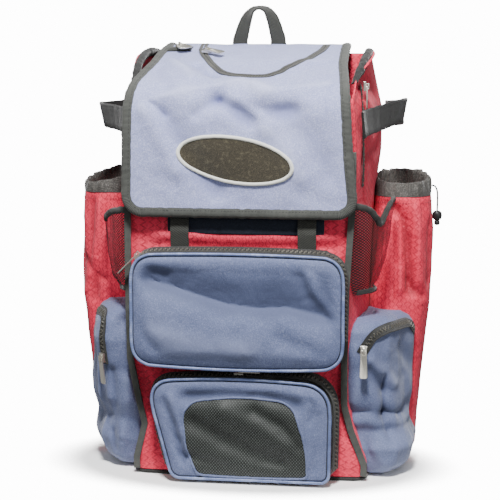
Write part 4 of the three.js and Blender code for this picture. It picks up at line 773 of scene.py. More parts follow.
set_camera()
build_cord()
set_light()
floor_bm = bmesh.new()
bmesh.ops.create_grid(floor_bm, x_segments=1, y_segments=1, size=4)
floor_mesh = bpy.data.meshes.new("floor")
floor_bm.to_mesh(floor_mesh)
floor_mesh.materials.append(floor_finish().material)
floor = bpy.data.objects.new("floor", floor_mesh)
bpy.context.scene.collection.objects.link(floor)


# Sewn shells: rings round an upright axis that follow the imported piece


def skin_of(*nodes):
    """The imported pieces' own surfaces, for finding where a line meets them."""
    bm = bmesh.new()
    for node in nodes:
        bm.from_mesh(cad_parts[node].data)
    return BVHTree.FromBMesh(bm)


def wrap(node, axis, low, high, rows=60, turns=96, beside=(), soften=2, fan=(0, 360)):
    """A packed shell as rows of points round an axis, kept clear of the pieces beside it."""
    own, near = skin_of(node), skin_of(*beside) if beside else None
    whole = fan[1] - fan[0] == 360
    angle = np.radians(np.linspace(*fan, turns, endpoint=not whole))
    low, high = np.broadcast_to(low, turns), np.broadcast_to(high, turns)
    z = low + (high - low) * np.linspace(0, 1, rows)[:, None]
    radius = np.full((rows, turns), np.nan)
    for j, i in np.ndindex(rows, turns):
        way = Vector((math.cos(angle[i]), math.sin(angle[i]), 0))
        middle = Vector((axis[0], axis[1], z[j, i])) * MM
        hit = own.ray_cast(middle + way * 0.3, -way, 0.299)
        stop = near.ray_cast(middle, way, 0.3) if near else (None,)
        if hit[0]:
            radius[j, i] = min(0.3 - hit[3], stop[3] - 0.0006 if stop[0] else 1) / MM
    for j in range(rows):
        known = ~np.isnan(radius[j])
        if known.any():
            radius[j] = np.interp(angle, angle[known], radius[j, known],
                period=2 * math.pi if whole else None)
        else:
            radius[j] = radius[j - 1]
    for _ in range(soften):
        sides = (np.roll(radius, 1, axis=1) + np.roll(radius, -1, axis=1)) / 2
        if not whole:
            sides[:, 0], sides[:, -1] = radius[:, 0], radius[:, -1]
        radius = (radius + sides) / 2
        radius[1:-1] = radius[1:-1] / 2 + (radius[2:] + radius[:-2]) / 4
    return np.stack([axis[0] + radius * np.cos(angle), axis[1] + radius * np.sin(angle), z], axis=-1)


def shell(points, wall=None, crown=(0, 0)):
    """A closed hollow with its mouth up where a wall is given, or else a closed form with crowned ends."""
    rows, turns = points.shape[:2]
    middle = points.mean(axis=1, keepdims=True)
    away = points - middle
    away[..., 2] = 0
    away = unit(away)
    rings = [*points]
    if wall:
        up = np.array([0, 0, wall * 0.5])
        rings += [points[-1] - away[-1] * wall * 0.25 + up, points[-1] - away[-1] * wall * 0.75 + up]
        inner = points - away * wall
        rings += [ring + (np.array([0, 0, wall]) if k == 0 else 0) for k, ring in enumerate(inner)][::-2]
    else:
        for end, out in ((0, -crown[0]), (-1, crown[1])):
            for share in (0.12, 0.3, 0.55, 0.8, 1.0):
                rise = np.array([0, 0, out * (1 - (1 - share) ** 2)])
                ring = points[end] + (middle[end] - points[end]) * share + rise
                rings.insert(0, ring) if end == 0 else rings.append(ring)
    spin = np.linspace(0, 2 * math.pi, turns + 1)
    around = np.hypot(*(points[rows // 2] - middle[rows // 2])[:, :2].T).mean()
    pattern = [[(a * around, ring[min(k, turns - 1), 2]) for k, a in enumerate(spin)] for ring in rings]
    return loft(rings, True, pattern)


def laid(rows, cloth, lift=0.0):
    """Places and ways, dropped onto finished cloth along their ways."""
    found = []
    for row in rows:
        spot, way = Vector(row[:3]) * MM, Vector(row[3:6]).normalized()
        hit = cloth.ray_cast(spot + way * 0.03, -way, 0.06)
        place = (hit[0] if hit[0] else spot) + way * lift * MM
        found.append([*(place / MM), *way])
    return found


def waist(surface, z, start, stop):
    """A line round a shell at a height, with its outward ways: part of the turns, as shares."""
    rows, turns = surface.shape[:2]
    j = int(np.argmin(np.abs(surface[:, :, 2].mean(axis=1) - z)))
    middle = surface[j].mean(axis=0)
    picked = [surface[j, k % turns] for k in range(int(start * turns), int(stop * turns), 2)]
    return [[*p, *(p - middle)[:2], 0.0] for p in picked]


# Main pack and base

# Folds, here and below: the fold's points, how wide, how deep (below 0 is a valley), and 1 where it is sharp
PACK_FOLDS = [
    ([(-120, -92, 340), (-30, -96, 336), (60, -96, 337), (130, -92, 340)], 5, 2.6, 0),
    ([(-120, -92, 324), (0, -95, 321), (130, -92, 325)], 6, -4.0, 0),
    ([(-140, -88, 150), (-132, -88, 110), (-118, -88, 92)], 7, -5.0, 0),
    ([(-146, -86, 120), (-128, -87, 78), (-135, -86, 30)], 6, 3.5, 0),
    ([(128, -89, 150), (140, -86, 100), (150, -86, 60)], 7, -4.5, 0),
    ([(130, -88, 90), (140, -87, 50), (150, -86, 18)], 6, 3.0, 0),
    ([(-110, -88, 150), (-60, -90, 154), (20, -92, 156)], 6, -2.5, 0),
    ([(168, -45, 250), (172, -20, 236), (178, 0, 228)], 7, 3.0, 0),
    ([(166, -50, 238), (174, -10, 250), (180, 8, 270)], 7, -3.5, 0),
    ([(168, -50, 440), (172, -10, 446), (176, 20, 452)], 10, -4.0, 0),
    ([(160, -50, 520), (168, 0, 500), (174, 30, 480)], 11, 4.0, 0),
    ([(158, -40, 556), (168, 10, 535), (176, 50, 520)], 9, -4.5, 0),
    ([(-168, -40, 440), (-172, 0, 450), (-174, 20, 455)], 9, -3.0, 0),
]
# The lid's middle line, back to front and down to its hem, as y and z
LID_LINE = [
    (96, 590), (50, 582), (-5, 567), (-64, 546), (-84, 536.5), (-97, 525), (-103, 508), (-106, 474),
    (-106, 439),
    (-104, 364),
]
LID_CREASE = 524  # the height where it turns down the front
flap_line, FLAP_LENGTH = evenly([(y, z, 0) for y, z in LID_LINE], 1.0)
over_top = flap_line[flap_line[:, 1] > LID_CREASE, :2][::-1]
pack_skin = skin_of("pack_body")


def side_of(side, y, z, fallback=160.0):
    """How far out the pack's side stands at a y and a height."""
    hit = pack_skin.ray_cast(Vector((side * 0.4, y * MM, z * MM)), Vector((-side, 0, 0)), 0.4)
    return abs(hit[0].x) / MM if hit[0] else fallback


def stands(y):
    """How far the side panels stand up beside the lid, over the pack's front edge."""
    return 19 * np.clip(1 - ((y + 4) / 80) ** 2, 0, 1)


def build_pack():
    rows, turns, wall = 110, 200, 3
    half_width, half_depth, under_lid = 150, 88, 9
    spin = np.linspace(0, 2 * math.pi, turns, endpoint=False)
    to_side = half_width / np.maximum(np.abs(np.cos(spin)), 0.01)
    far = np.minimum(to_side, half_depth / np.maximum(np.abs(np.sin(spin)), 0.01))
    x, y = far * np.cos(spin), far * np.sin(spin)
    mouth = np.interp(y, *over_top.T) - under_lid * (1 + (y < -70)) + (np.abs(x) > half_width - 1) * stands(y)
    outer = wrap("pack_body", (0, 0), 6, mouth, rows, turns, (), 1)
    bm = shell(outer, wall)
    hold = lambda p: np.clip((p[:, 2] - 8) / 20, 0, 1) * np.clip((50 - p[:, 1]) / 30, 0.05, 1)
    rumpled(bm, box_ways, PACK_FOLDS, 2.4, 60, (1, 1, 0.8), 3.1, hold)
    parts = [(bm, RED)]
    for side in SIDES.values():
        rows = []
        for y in range(-64, 84, 6):
            z = np.interp(y, *over_top.T)
            rows.append([side * (side_of(side, y, z - 10) - 2.0), y, z - 9.5 + stands(y), side, 0, 0.6])
        edge = Route(rows, None, 2.0)
        taper = lambda s: min(1.0, 0.12 + 5 * s, 0.12 + 8 * (1 - s))
        parts += [(band(edge, round_section(6.4, 14, 0.9), taper, 0.9, side), DARK)]
    piece("pack_cloth", parts, ["pack_body"])
    base = cloth_copy("base_panel", 9.0, 2, 60)
    box_pattern(base)
    piece("base_cloth", [(base, DARK)], ["base_panel"])


# Lid flap. Rows down its length: share, half width, shift and crown. Bumps: place across, place down, width,
# length and height

FLAP_ROWS = [
    (0.0, 0.84, 0.0, 0), (0.3, 0.87, -0.01, 6), (0.5, 0.94, -0.03, 5), (0.6, 0.965, -0.03, 2),
    (0.8, 0.985, -0.02, 1), (1.0, 1.015, 0.0, 0),
]
FLAP_BUMPS = [
    (-0.2, 0.57, 0.13, 0.05, -5), (-0.02, 0.62, 0.2, 0.07, 3), (-0.72, 0.56, 0.14, 0.04, -5),
    (0.76, 0.5, 0.14, 0.035, -5), (-0.45, 0.72, 0.12, 0.12, -3), (0.4, 0.7, 0.22, 0.08, -3),
]
FLAP_FOLDS = [
    ([(-144, -108, 505), (-124, -102, 521), (-95, -99, 528), (-68, -96, 533), (-35, -91, 540),
        (-1, -87, 545), (20, -94, 539)], 13, 5.5, 1),
    ([(35, -98, 532), (60, -95, 535), (87, -90, 539), (113, -83, 541), (134, -82, 544)], 12, 5.0, 1),
    ([(20, -94, 539), (35, -98, 532)], 9, 3.0, 0),
    ([(-29, -100, 527), (-27, -101, 525)], 6, -5.0, 1),
    ([(-29, -100, 527), (-17, -106, 518), (-3, -111, 506), (16, -112, 494)], 11, -7.5, 0),
    ([(4, -106, 514), (36, -110, 508), (72, -107, 512)], 12, -6.0, 0),
    ([(-22, -99, 531), (-4, -105, 522), (14, -109, 512), (30, -111, 504)], 7, 3.4, 0),
    ([(-29, -100, 527), (-44, -104, 516), (-58, -108, 504)], 8, -4.0, 0),
    ([(132, -84, 542), (118, -90, 535), (98, -96, 527)], 7, -6.5, 1),
    ([(-126, -102, 521), (-114, -104, 514), (-102, -108, 503)], 7, -6.0, 1),
    ([(-102, -108, 503), (-79, -112, 463), (-52, -112, 423), (-32, -110, 403)], 17, -5.5, 0),
    ([(-122, -108, 506), (-104, -111, 470), (-84, -112, 430)], 13, 3.4, 0),
    ([(60, -108, 508), (95, -110, 474), (120, -110, 430)], 19, -4.4, 0),
    ([(30, -110, 490), (64, -112, 452), (84, -112, 420)], 15, 3.4, 0),
    ([(-70, -30, 568), (-56, -52, 560), (-38, -66, 555)], 7, -4.5, 0),
    ([(-110, -10, 572), (-84, -45, 560), (-70, -70, 549)], 9, 4.2, 0),
    ([(60, -46, 560), (80, -20, 570), (110, -5, 574)], 9, 3.6, 0),
    ([(-100, -84, 538), (-116, -60, 550), (-128, -30, 562)], 8, -4.0, 0),
]
flap_share = np.linspace(0, 1, len(flap_line))
flap_way = unit(np.gradient(flap_line, axis=0))


def flap_half(share):
    rows = np.array(FLAP_ROWS)
    return PACK_HALF * np.interp(share, rows[:, 0], rows[:, 1]) + LID_SIDE


def on_flap(x, share, lift=0.0):
    """Points on the flap's outer face at x and at a share of its length, and the outward ways."""
    x, share = np.broadcast_arrays(np.array(x, float), np.clip(np.array(share, float), 0, 1))
    rows = np.array(FLAP_ROWS)
    y, z = (np.interp(share, flap_share, flap_line[:, k]) for k in (0, 1))
    dy, dz = (np.interp(share, flap_share, flap_way[:, k]) for k in (0, 1))
    across = x / flap_half(share)
    rise = np.interp(share, rows[:, 0], rows[:, 3]) * np.maximum(0, 1 - across**2)
    for place, down, wide, long, deep in FLAP_BUMPS:
        bump = deep * np.exp(-(((across - place) / wide) ** 2)) * np.exp(-(((share - down) / long) ** 2))
        rise = rise + bump * np.maximum(0, 1 - across**4)
    up = 4 + rise + lift
    shift = PACK_HALF * np.interp(share, rows[:, 0], rows[:, 2])
    points = np.stack([x + shift, y + dz * up, z - dy * up], axis=-1)
    return points, np.stack([np.zeros_like(y), dz, -dy], axis=-1)


def flap_shares(points):
    """How far down the flap's middle line places near it lie."""
    spots = np.stack([np.interp(np.linspace(0, 1, 240), flap_share, flap_line[:, k]) for k in (0, 1)], axis=1)
    return np.argmin(((points[:, None, 1:] - spots[None]) ** 2).sum(-1), axis=1) / 239


def flap_ways(points):
    share = flap_shares(points)
    dy, dz = (np.interp(share, flap_share, flap_way[:, k]) for k in (0, 1))
    return np.stack([np.zeros(len(points)), dz, -dy], axis=1)


def flap_hold(points):
    """Full where the flap's cloth is free, none where its binding holds it."""
    share = flap_shares(points)
    rows = np.array(FLAP_ROWS)
    shift = PACK_HALF * np.interp(share, rows[:, 0], rows[:, 2])
    free = flap_half(share) - 12 - np.abs(points[:, 0] - shift)
    return np.clip(free / 16, 0, 1) * np.clip((points[:, 2] - 374) / 14, 0, 1)


def build_flap():
    corner, wide, length = 18, LID_EDGE, FLAP_LENGTH - LID_EDGE
    down = list(np.linspace(0, length - corner, 130))
    down += [length - corner + corner * math.sin(t) for t in np.linspace(0, math.pi / 2, 12)[1:]]
    rings, pattern, edges = [], [], []
    for d in down:
        left = length - d
        inset = corner - math.sqrt(max(corner**2 - (corner - left) ** 2, 0)) if left < corner else 0
        half = flap_half(d / FLAP_LENGTH) - wide - inset
        x = np.linspace(-half, half, 111)
        rings.append(on_flap(x, d / FLAP_LENGTH)[0])
        pattern.append([(a, -d) for a in x])
        edges.append(half)
    bm = faced(loft(rings, False, pattern), (0, -1, 0.6))
    rumpled(bm, flap_ways, FLAP_FOLDS, 1.9, 52, EVEN, 1.3, flap_hold)
    cloth = BVHTree.FromBMesh(bm)
    bmesh.ops.solidify(bm, geom=bm.faces, thickness=3.4 * MM)
    piece("lid_cloth", [(bm, FLAP)], ["lid_flap"])
    outline = [on_flap(-h, d / FLAP_LENGTH) for h, d in zip(edges, down)][:-1:3]
    hem = [on_flap(x, length / FLAP_LENGTH) for x in np.linspace(-edges[-1], edges[-1], 12)]
    right = [on_flap(h, d / FLAP_LENGTH) for h, d in zip(edges, down)][:-1:3][::-1]
    rows = [np.concatenate([p, w]) for p, w in outline + hem + right]
    route = Route(rows, None, 2.2).shifted(0, -2)
    section = [(-1.8, 2.3), (1, 3.5), (4, 4.3), (7.5, 4.2), (10, 3.1), (11.6, 0.6), (10.8, -2.0), (8, -2.9),
        (4, -2.9), (0.8, -2.7)]
    parts = [(band(route, section, None, 0.9, 4), BINDING), seam(route, 1.4, 3.8, 4.6, 3.2, DARK_THREAD)]
    piece("lid_binding", parts, ["flap_binding"])
    build_lid_zip(cloth)
    build_patch(cloth)


def build_lid_zip(cloth):
    rows = []
    for t in np.linspace(0, 1, 41):
        share = 0.03 + 0.44 * math.sin(math.pi * min(max(t, 0.0), 1.0)) ** 0.55
        p, w = on_flap((-0.57 + 1.31 * t) * flap_half(share), share, 0.6)
        rows.append(np.concatenate([p, w]))
    piece("lid_zip_chain", coil_zip(Route(laid(rows, cloth), None, 1.8), 11, -0.4), ["flap_zip"])


def build_patch(cloth):
    """An oval of short pile, edged with a dense pale border of satin stitches, left plain inside."""
    tilt, centre = math.radians(-8), 1 - 79 / FLAP_LENGTH

    def ring(scale, lift, count=72):
        rows = []
        for a in np.linspace(0, 2 * math.pi, count, endpoint=False):
            across, up = 81 * scale * math.cos(a), 31 * scale * math.sin(a)
            x = -2 + across * math.cos(tilt) - up * math.sin(tilt)
            p, w = on_flap(x, centre - (across * math.sin(tilt) + up * math.cos(tilt)) / FLAP_LENGTH, 0)
            rows.append(np.concatenate([p, w]))
        return np.array(laid(rows, cloth, lift))

    shares = (0.92, 0.8, 0.65, 0.5, 0.35, 0.2, 0.08, 0.001)
    rings = [ring(0.98, 0.1), ring(0.98, 1.5)] + [ring(s, 1.6 + 0.5 * (1 - s)) for s in shares]
    base = loft([r[:, :3] for r in rings], True, None, close_ends=False)
    border = Route(ring(0.965, 1.5), None, 1.6, True)
    section = [(-2.6, -1), (-2.3, 0.7), (-1.2, 1.5), (0, 1.8), (1.2, 1.5), (2.3, 0.7), (2.6, -1)]
    edge = band(border, section, None, 0.25, 2)
    piece("lid_patch", [(base, PATCH), (edge, EDGING)], ["flap_patch"])


# Pouches on the front: an outline in x and z, a gusset and a slack face

# Corners as x, z, how round, and how far the edge after each bows out
FRONT_CORNERS = [(-142.5, 166, 34, 3), (142.5, 166, 34, 0), (142.5, 316, 34, 2), (-142.5, 316, 34, 0)]
SHOE_CORNERS = [(-90, 8, 12, 0), (124, 8, 12, 0), (126, 143, 44, 3), (-126, 143, 44, 0)]
WINDOW_CORNERS = [(-55.5, 13, 9, 1.4), (96.5, 13, 9, 3), (78, 118.7, 34, 3), (-83, 116, 46, 3)]
FRONT_FOLDS = [
    ([(98, -139, 292), (108, -139, 268), (126, -139, 244)], 8, 4.0, 0),
    ([(88, -139, 290), (96, -139, 262)], 8, -3.0, 0),
    ([(-124, -138, 302), (-98, -139, 290)], 8, -3.0, 0),
    ([(-110, -138, 212), (-60, -140, 196), (10, -140, 190)], 15, 2.6, 0),
    ([(-132, -136, 214), (-112, -138, 188)], 10, -3.0, 0),
    ([(60, -142, 206), (118, -138, 186)], 12, -2.8, 0),
]
DENT = [(-140, 286), (-94, 275), (-58, 264), (-13, 251), (31, 246), (67, 249), (103, 241), (140, 232)]
SHOE_FOLDS = [
    ([(-104, -130, 112), (-88, -130, 78), (-76, -130, 40)], 8, -6.0, 0),
    ([(-92, -130, 122), (-80, -131, 84), (-70, -131, 50)], 7, 3.6, 0),
    ([(-92, -130, 60), (-74, -131, 28)], 5, -5.0, 1),
    ([(-100, -130, 84), (-84, -131, 60)], 5, -4.0, 1),
    ([(-66, -131, 122), (-20, -131, 126), (30, -131, 127), (80, -131, 114)], 12, -7.0, 0),
    ([(-62, -132, 86), (-20, -134, 62), (20, -134, 44), (60, -134, 30)], 12, -7.0, 0),
    ([(-20, -134, 104), (30, -134, 82), (66, -134, 60)], 11, 4.0, 0),
    ([(24, -134, 104), (60, -134, 84), (84, -134, 56)], 8, -4.5, 0),
    ([(20, -132, 136), (70, -131, 138), (104, -130, 128)], 6, 3.6, 0),
    ([(96, -130, 132), (104, -130, 112), (100, -130, 92)], 6, -4.5, 1),
    ([(112, -130, 100), (114, -130, 60), (108, -130, 24)], 7, -4.0, 0),
    ([(-66, -132, 38), (-20, -133, 24)], 7, -3.6, 0),
]


def grown(loop, distance):
    """A closed outline moved outwards, by one distance or one for each point."""
    way = unit(np.roll(loop, -1, axis=0) - np.roll(loop, 1, axis=0))
    return loop + np.stack([way[:, 1], -way[:, 0]], axis=1) * np.reshape(distance, (-1, 1))


def rounded(corners, step=3):
    """An outline with rounded corners and bowed edges, as evenly spaced places in x and z."""
    corners, points = np.array(corners, float), []
    for here, before, after in zip(corners, np.roll(corners, 1, axis=0), np.roll(corners, -1, axis=0)):
        start, end = (here[:2] + unit(other[:2] - here[:2]) * here[2] for other in (before, after))
        points += [start * (1 - t) ** 2 + here[:2] * 2 * t * (1 - t) + end * t**2 for t in np.linspace(0, 1,
            5)]
        stop = after[:2] + unit(here[:2] - after[:2]) * after[2]
        out = unit((stop - end)[::-1] * [1, -1]) * here[3]
        points += [end + (stop - end) * t + out * 4 * t * (1 - t) for t in (0.25, 0.5, 0.75)]
    line, _ = evenly([(x, z, 0) for x, z in points], step, True)
    return line[:, :2]


def star(loop, centre, turns):
    """Where rays from a centre meet an outline round it."""
    away = loop - centre
    spin = np.linspace(0, 2 * math.pi, turns, endpoint=False)
    far = np.interp(spin, np.arctan2(away[:, 1], away[:, 0]), np.hypot(*away.T), period=2 * math.pi)
    return centre + np.stack([np.cos(spin), np.sin(spin)], axis=1) * far[:, None]


def edge_gap(flat, loop):
    """How far places in x and z lie from an outline."""
    nearest = np.full(len(flat), 1e9)
    for a, b in zip(loop, np.roll(loop, -1, axis=0)):
        t = np.clip(((flat - a) @ (b - a)) / max((b - a) @ (b - a), 1e-9), 0, 1)
        nearest = np.minimum(nearest, np.linalg.norm(flat - a - t[:, None] * (b - a), axis=1))
    return nearest


def dented(points, deep=15.0, below=15.0, rim=317.0):
    """The front pocket's slack face: it leans in from its top down to a bent line, and swells out below."""
    bend = np.interp(points[:, 0], *np.array(DENT).T)
    above = np.clip((rim - points[:, 2]) / (rim - bend), 0, 1) ** 1.2
    under = 1.12 * np.exp(-np.clip(bend - points[:, 2], 0, None) / below) - 0.12
    swell = 2.5 * np.clip((bend - points[:, 2]) / (bend - 180), 0, 1)
    return swell - deep * np.where(points[:, 2] > bend, above, under)


def face_sheet(outer, inner, loop, face, crown, folds, seed, rows=40, lean=None):
    """A pouch's face between two outlines: rounded over at its edge, crowned and folded."""
    flat = np.array([outer + (inner - outer) * s for s in np.linspace(0, 1, rows) ** 1.4])
    gap = edge_gap(flat.reshape(-1, 2), loop).reshape(flat.shape[:2])
    y = face - 3.4 * (1 - np.exp(-gap / 3.5)) - crown * (1 - np.exp(-gap / 26))
    rings = np.stack([flat[..., 0], y, flat[..., 1]], axis=-1)
    pattern = [[*ring, ring[0]] for ring in flat]
    bm = faced(loft(rings, True, pattern, close_ends=False), FORWARD)
    free = lambda p: np.clip((edge_gap(p[:, [0, 2]], loop) - 3) / 23, 0, 1)
    hold = lambda p: free(p) ** 2 * (3 - 2 * free(p))
    return rumpled(bm, one_way(*FORWARD), folds, 1.5, 46, EVEN, seed, hold, lean)


def gusset(loop, flare, front, back):
    """A pouch's side wall, widening towards the pack."""
    rings = []
    for share in (0, 0.15, 0.4, 0.65, 0.85, 1):
        at = grown(loop, flare * share**0.8)
        rings.append([(x, front + (back - front) * share, z) for x, z in at])
    return loft(rings, True, None, close_ends=False)


def ring_route(loop, y, tip=0.0, step=2.0, keep=None):
    """A route round a pouch whose outward way lies in the pouch's own plane, tipped towards the front."""
    way = unit(np.roll(loop, -1, axis=0) - np.roll(loop, 1, axis=0))
    rows = [(x, y, z, w[1], -tip, -w[0]) for (x, z), w in zip(loop, way)]
    if keep is None:
        return Route(rows, None, step, True)
    start = next(k for k in range(len(rows)) if rows[k][2] >= keep and rows[k - 1][2] < keep)
    rows = rows[start:] + rows[:start]
    return Route([r for r in rows if r[2] >= keep], None, step)


def pouch_trims(name, loop, flare, edge, zip_from, prefix):
    """A pouch's piping, a thin dark cord inside it that paints the shade in the groove there, and the zip round its
    gusset.
    """
    cord = ring_route(grown(loop, 1.3), edge - 1.8)
    # The thin dark cord on this line is painted shade for the groove between the piping and the face.
    groove = ring_route(grown(loop, -2.1), edge - 1.4, 4.0)
    parts = [(band(cord, round_section(2.1, 12), None, 0.35, 3), PIPING)]
    parts += [(band(groove, round_section(0.8, 8)), DARK)]
    piece(f"{name}_pocket_cord", parts, [f"{prefix}_piping"])
    chain = ring_route(grown(loop, 1.0 + 0.62 * flare), POUCH_ZIP, 0.35, 2.0, zip_from)
    piece(f"{name}_pocket_zip_chain", zip_parts(chain, 20, 7.0, 0.3, 3.0), [f"{prefix}_zip"])


def build_front_pocket():
    loop = rounded(FRONT_CORNERS)
    flare = np.where(loop[:, 0] > 120, 0.6, 3.0) * np.clip((loop[:, 1] - 166) / 16, 0.05, 1)
    centre = np.array([0.0, 240.0])
    outer = star(loop, centre, 220)
    inner = centre + (outer - centre) * 0.001
    face = face_sheet(outer, inner, loop, FRONT_FACE, 6, FRONT_FOLDS, 5.2, 60, dented)
    wall = gusset(loop, flare, FRONT_FACE, PACK_FACE)
    piece("front_pocket_cloth", [(face, BLUE), (wall, DARK)], ["front_pocket"])
    pouch_trims("front", loop, flare, FRONT_FACE, 198, "front_pocket")


def build_shoe_pocket():
    loop = rounded(SHOE_CORNERS)
    left, right = 7.0 * (loop[:, 0] < 0), 8.0 * np.clip(loop[:, 0] / 60, 0, 1)
    flare = 3.0 + right + left * np.clip((112 - loop[:, 1]) / 40, 0, 1)
    flare = flare * np.clip((loop[:, 1] - 8) / 12, 0.05, 1)
    centre, crown, seed = np.array([12.0, 68.0]), 4.5, 8.2
    outer, hem = star(loop, centre, 200), star(rounded(WINDOW_CORNERS), centre, 200)
    face = face_sheet(outer, hem, loop, SHOE_FACE, crown, SHOE_FOLDS, seed, 22)
    net = face_sheet(hem, centre + (hem - centre) * 0.001, loop, SHOE_FACE + 0.6, crown, SHOE_FOLDS, seed, 26)
    cloth = BVHTree.FromBMesh(face)
    edge = grown(star(rounded(WINDOW_CORNERS), centre, 90), 1.2)
    rows = laid([(x, SHOE_FACE - 1, z, *FORWARD) for x, z in edge], cloth)
    section = [(-1.6, 0), (-1.2, 0.9), (0, 1.3), (1.2, 0.9), (1.6, 0)]
    hem_fold = band(Route(rows, None, 2.0, True), section, None, 0.4, 6)
    wall = gusset(loop, flare, SHOE_FACE, PACK_FACE)
    parts = [(face, BLUE), (hem_fold, BLUE), (wall, DARK)]
    piece("shoe_pocket_cloth", parts, ["shoe_pocket"])
    piece("shoe_pocket_window", [(net, WINDOW)], ["shoe_pocket_mesh"])
    pouch_trims("shoe", loop, flare, SHOE_FACE, 19, "shoe_pocket")


# The sides: bat sleeves, cuffs, side pockets and net pockets

SLEEVE_FOLDS = {
    "left": [
        ([(-236, 20, 380), (-240, 22, 300), (-232, 24, 230)], 9, -5.0, 0),
        ([(-222, 18, 372), (-226, 20, 320), (-238, 24, 262)], 7, 4.5, 0),
        ([(-248, 34, 286), (-236, 20, 262), (-214, 18, 256)], 6, -5.0, 1),
        ([(-252, 40, 330), (-250, 40, 250)], 9, -3.5, 0),
    ],
    "right": [
        ([(192, 22, 372), (204, 18, 364), (213, 19, 350), (219, 19, 333), (222, 20, 315), (225, 21, 286),
            (226, 22, 250)], 9, -7.5, 0),
        ([(206, 18, 350), (212, 18, 325), (214, 18, 286), (214, 19, 250)], 6, 4.0, 0),
        ([(232, 24, 370), (236, 26, 320), (238, 28, 262)], 7, 4.0, 0),
        ([(226, 22, 262), (236, 25, 246), (246, 32, 240)], 6, -4.5, 1),
        ([(202, 18, 256), (204, 18, 232)], 3.5, -3.0, 1),
        ([(250, 44, 340), (252, 46, 260)], 9, -3.0, 0),
    ],
}
SIDE_POCKET_FOLDS = {
    "left": [
        ([(-186, -73, 140), (-182, -75, 100), (-188, -72, 60), (-182, -72, 30)], 8, -5.0, 0),
        ([(-163, -76, 128), (-166, -78, 80), (-176, -74, 30)], 8, 4.0, 0),
        ([(-207, -52, 186), (-209, -50, 130), (-206, -50, 70), (-200, -50, 24)], 8, 4.5, 1),
        ([(-218, -30, 190), (-222, -24, 130), (-216, -24, 70)], 9, -4.5, 0),
        ([(-196, -64, 60), (-186, -70, 46), (-172, -76, 40)], 6, -4.0, 1),
        ([(-220, 0, 112), (-216, 0, 66), (-211, 0, 34)], 30, 8.0, 0),
    ],
    "right": [
        ([(195, -56, 140), (195, -59, 116), (197, -63, 90)], 8, -7.5, 1),
        ([(197, -63, 90), (201, -56, 63), (205, -68, 40)], 7, -7.0, 1),
        ([(150, -72, 92), (174, -72, 94), (197, -62, 90)], 9, -5.0, 1),
        ([(152, -72, 78), (174, -74, 78), (192, -68, 74)], 9, 4.0, 0),
        ([(197, -62, 90), (217, -37, 86), (234, -6, 93)], 9, -6.0, 1),
        ([(204, -58, 76), (222, -34, 70), (236, -4, 76)], 9, 3.6, 0),
        ([(180, -72, 166), (193, -58, 148), (207, -44, 130)], 9, 5.0, 0),
        ([(172, -76, 152), (184, -66, 134), (192, -60, 122)], 9, -5.0, 0),
        ([(222, -28, 176), (231, 0, 150)], 12, -3.6, 0),
        ([(166, -76, 64), (178, -76, 34)], 8, -4.0, 1),
        ([(184, -72, 40), (196, -66, 22)], 7, 3.6, 0),
        ([(240, 18, 70), (240, 18, 40), (232, 18, 20)], 26, -9.0, 0),
        ([(152, -72, 182), (160, -74, 150), (156, -74, 110)], 9, 4.0, 0),
    ],
}
# The side pockets' zips, from the slider up and back: places, and the cloth's outward ways
SIDE_ZIPS = {
    "left": [
        (-194.9, -68.8, 150.5, -6.5, -7.5, -1.2), (-196.6, -69.5, 164.1, -6.6, -7.4, -1.2), (-198.3, -70.2, 177.7, -6.7, -7.3, -1.2),
        (-199.2, -69.4, 189.1, -6.6, -7, 1.5), (-198.6, -64.8, 201.4, -6.8, -6.8, 2.8), (-199, -58.4, 212, -7.3, -5.2, 4.1),
        (-201.9, -46.9, 218.7, -6.4, -4.8, 6.1), (-211.9, -30.5, 220.3, -7.8, -3.3, 5.3), (-219, -8.3, 215.6, -8, -2.8, 5.2),
    ],
    "right": [
        (164.7, -79.2, 176.8, 0.8, -10, -0.5), (172.6, -76.7, 189.7, 3.4, -9.3, 1), (182.2, -70.1, 201.9, 6, -7.5, 2),
        (197.2, -52.5, 208.1, 6, -6, 5.5), (207.5, -38.7, 209.2, 7.2, -4.9, 5), (222.1, -8.6, 209.1, 7.5, -4.2, 5.2),
        (227.6, 0.3, 207.1, 8, -2.7, 5.3), (231.2, 8.1, 200.7, 9.8, -1.8, 0.5), (232.7, 16.1, 192, 10, -0.8, 0.5),
    ],
}
# The cuff's section, outside to inside: its rise, how far out, and how much of the pleating it takes
CUFF_ROWS = [
    (0, 0, 0), (0.15, 0.5, 0.15), (0.3, 0.9, 0.35), (0.45, 1.2, 0.55), (0.6, 1.3, 0.75), (0.75, 1.1, 0.95),
    (0.87, 0.7, 1.1),
    (0.95, 0, 1.2), (1, -1.2, 1.25), (0.97, -2.6, 1.2), (0.86, -3.4, 1), (0.6, -3.4, 0.8), (0.3, -3, 0.4),
    (0, -2.5, 0),
]


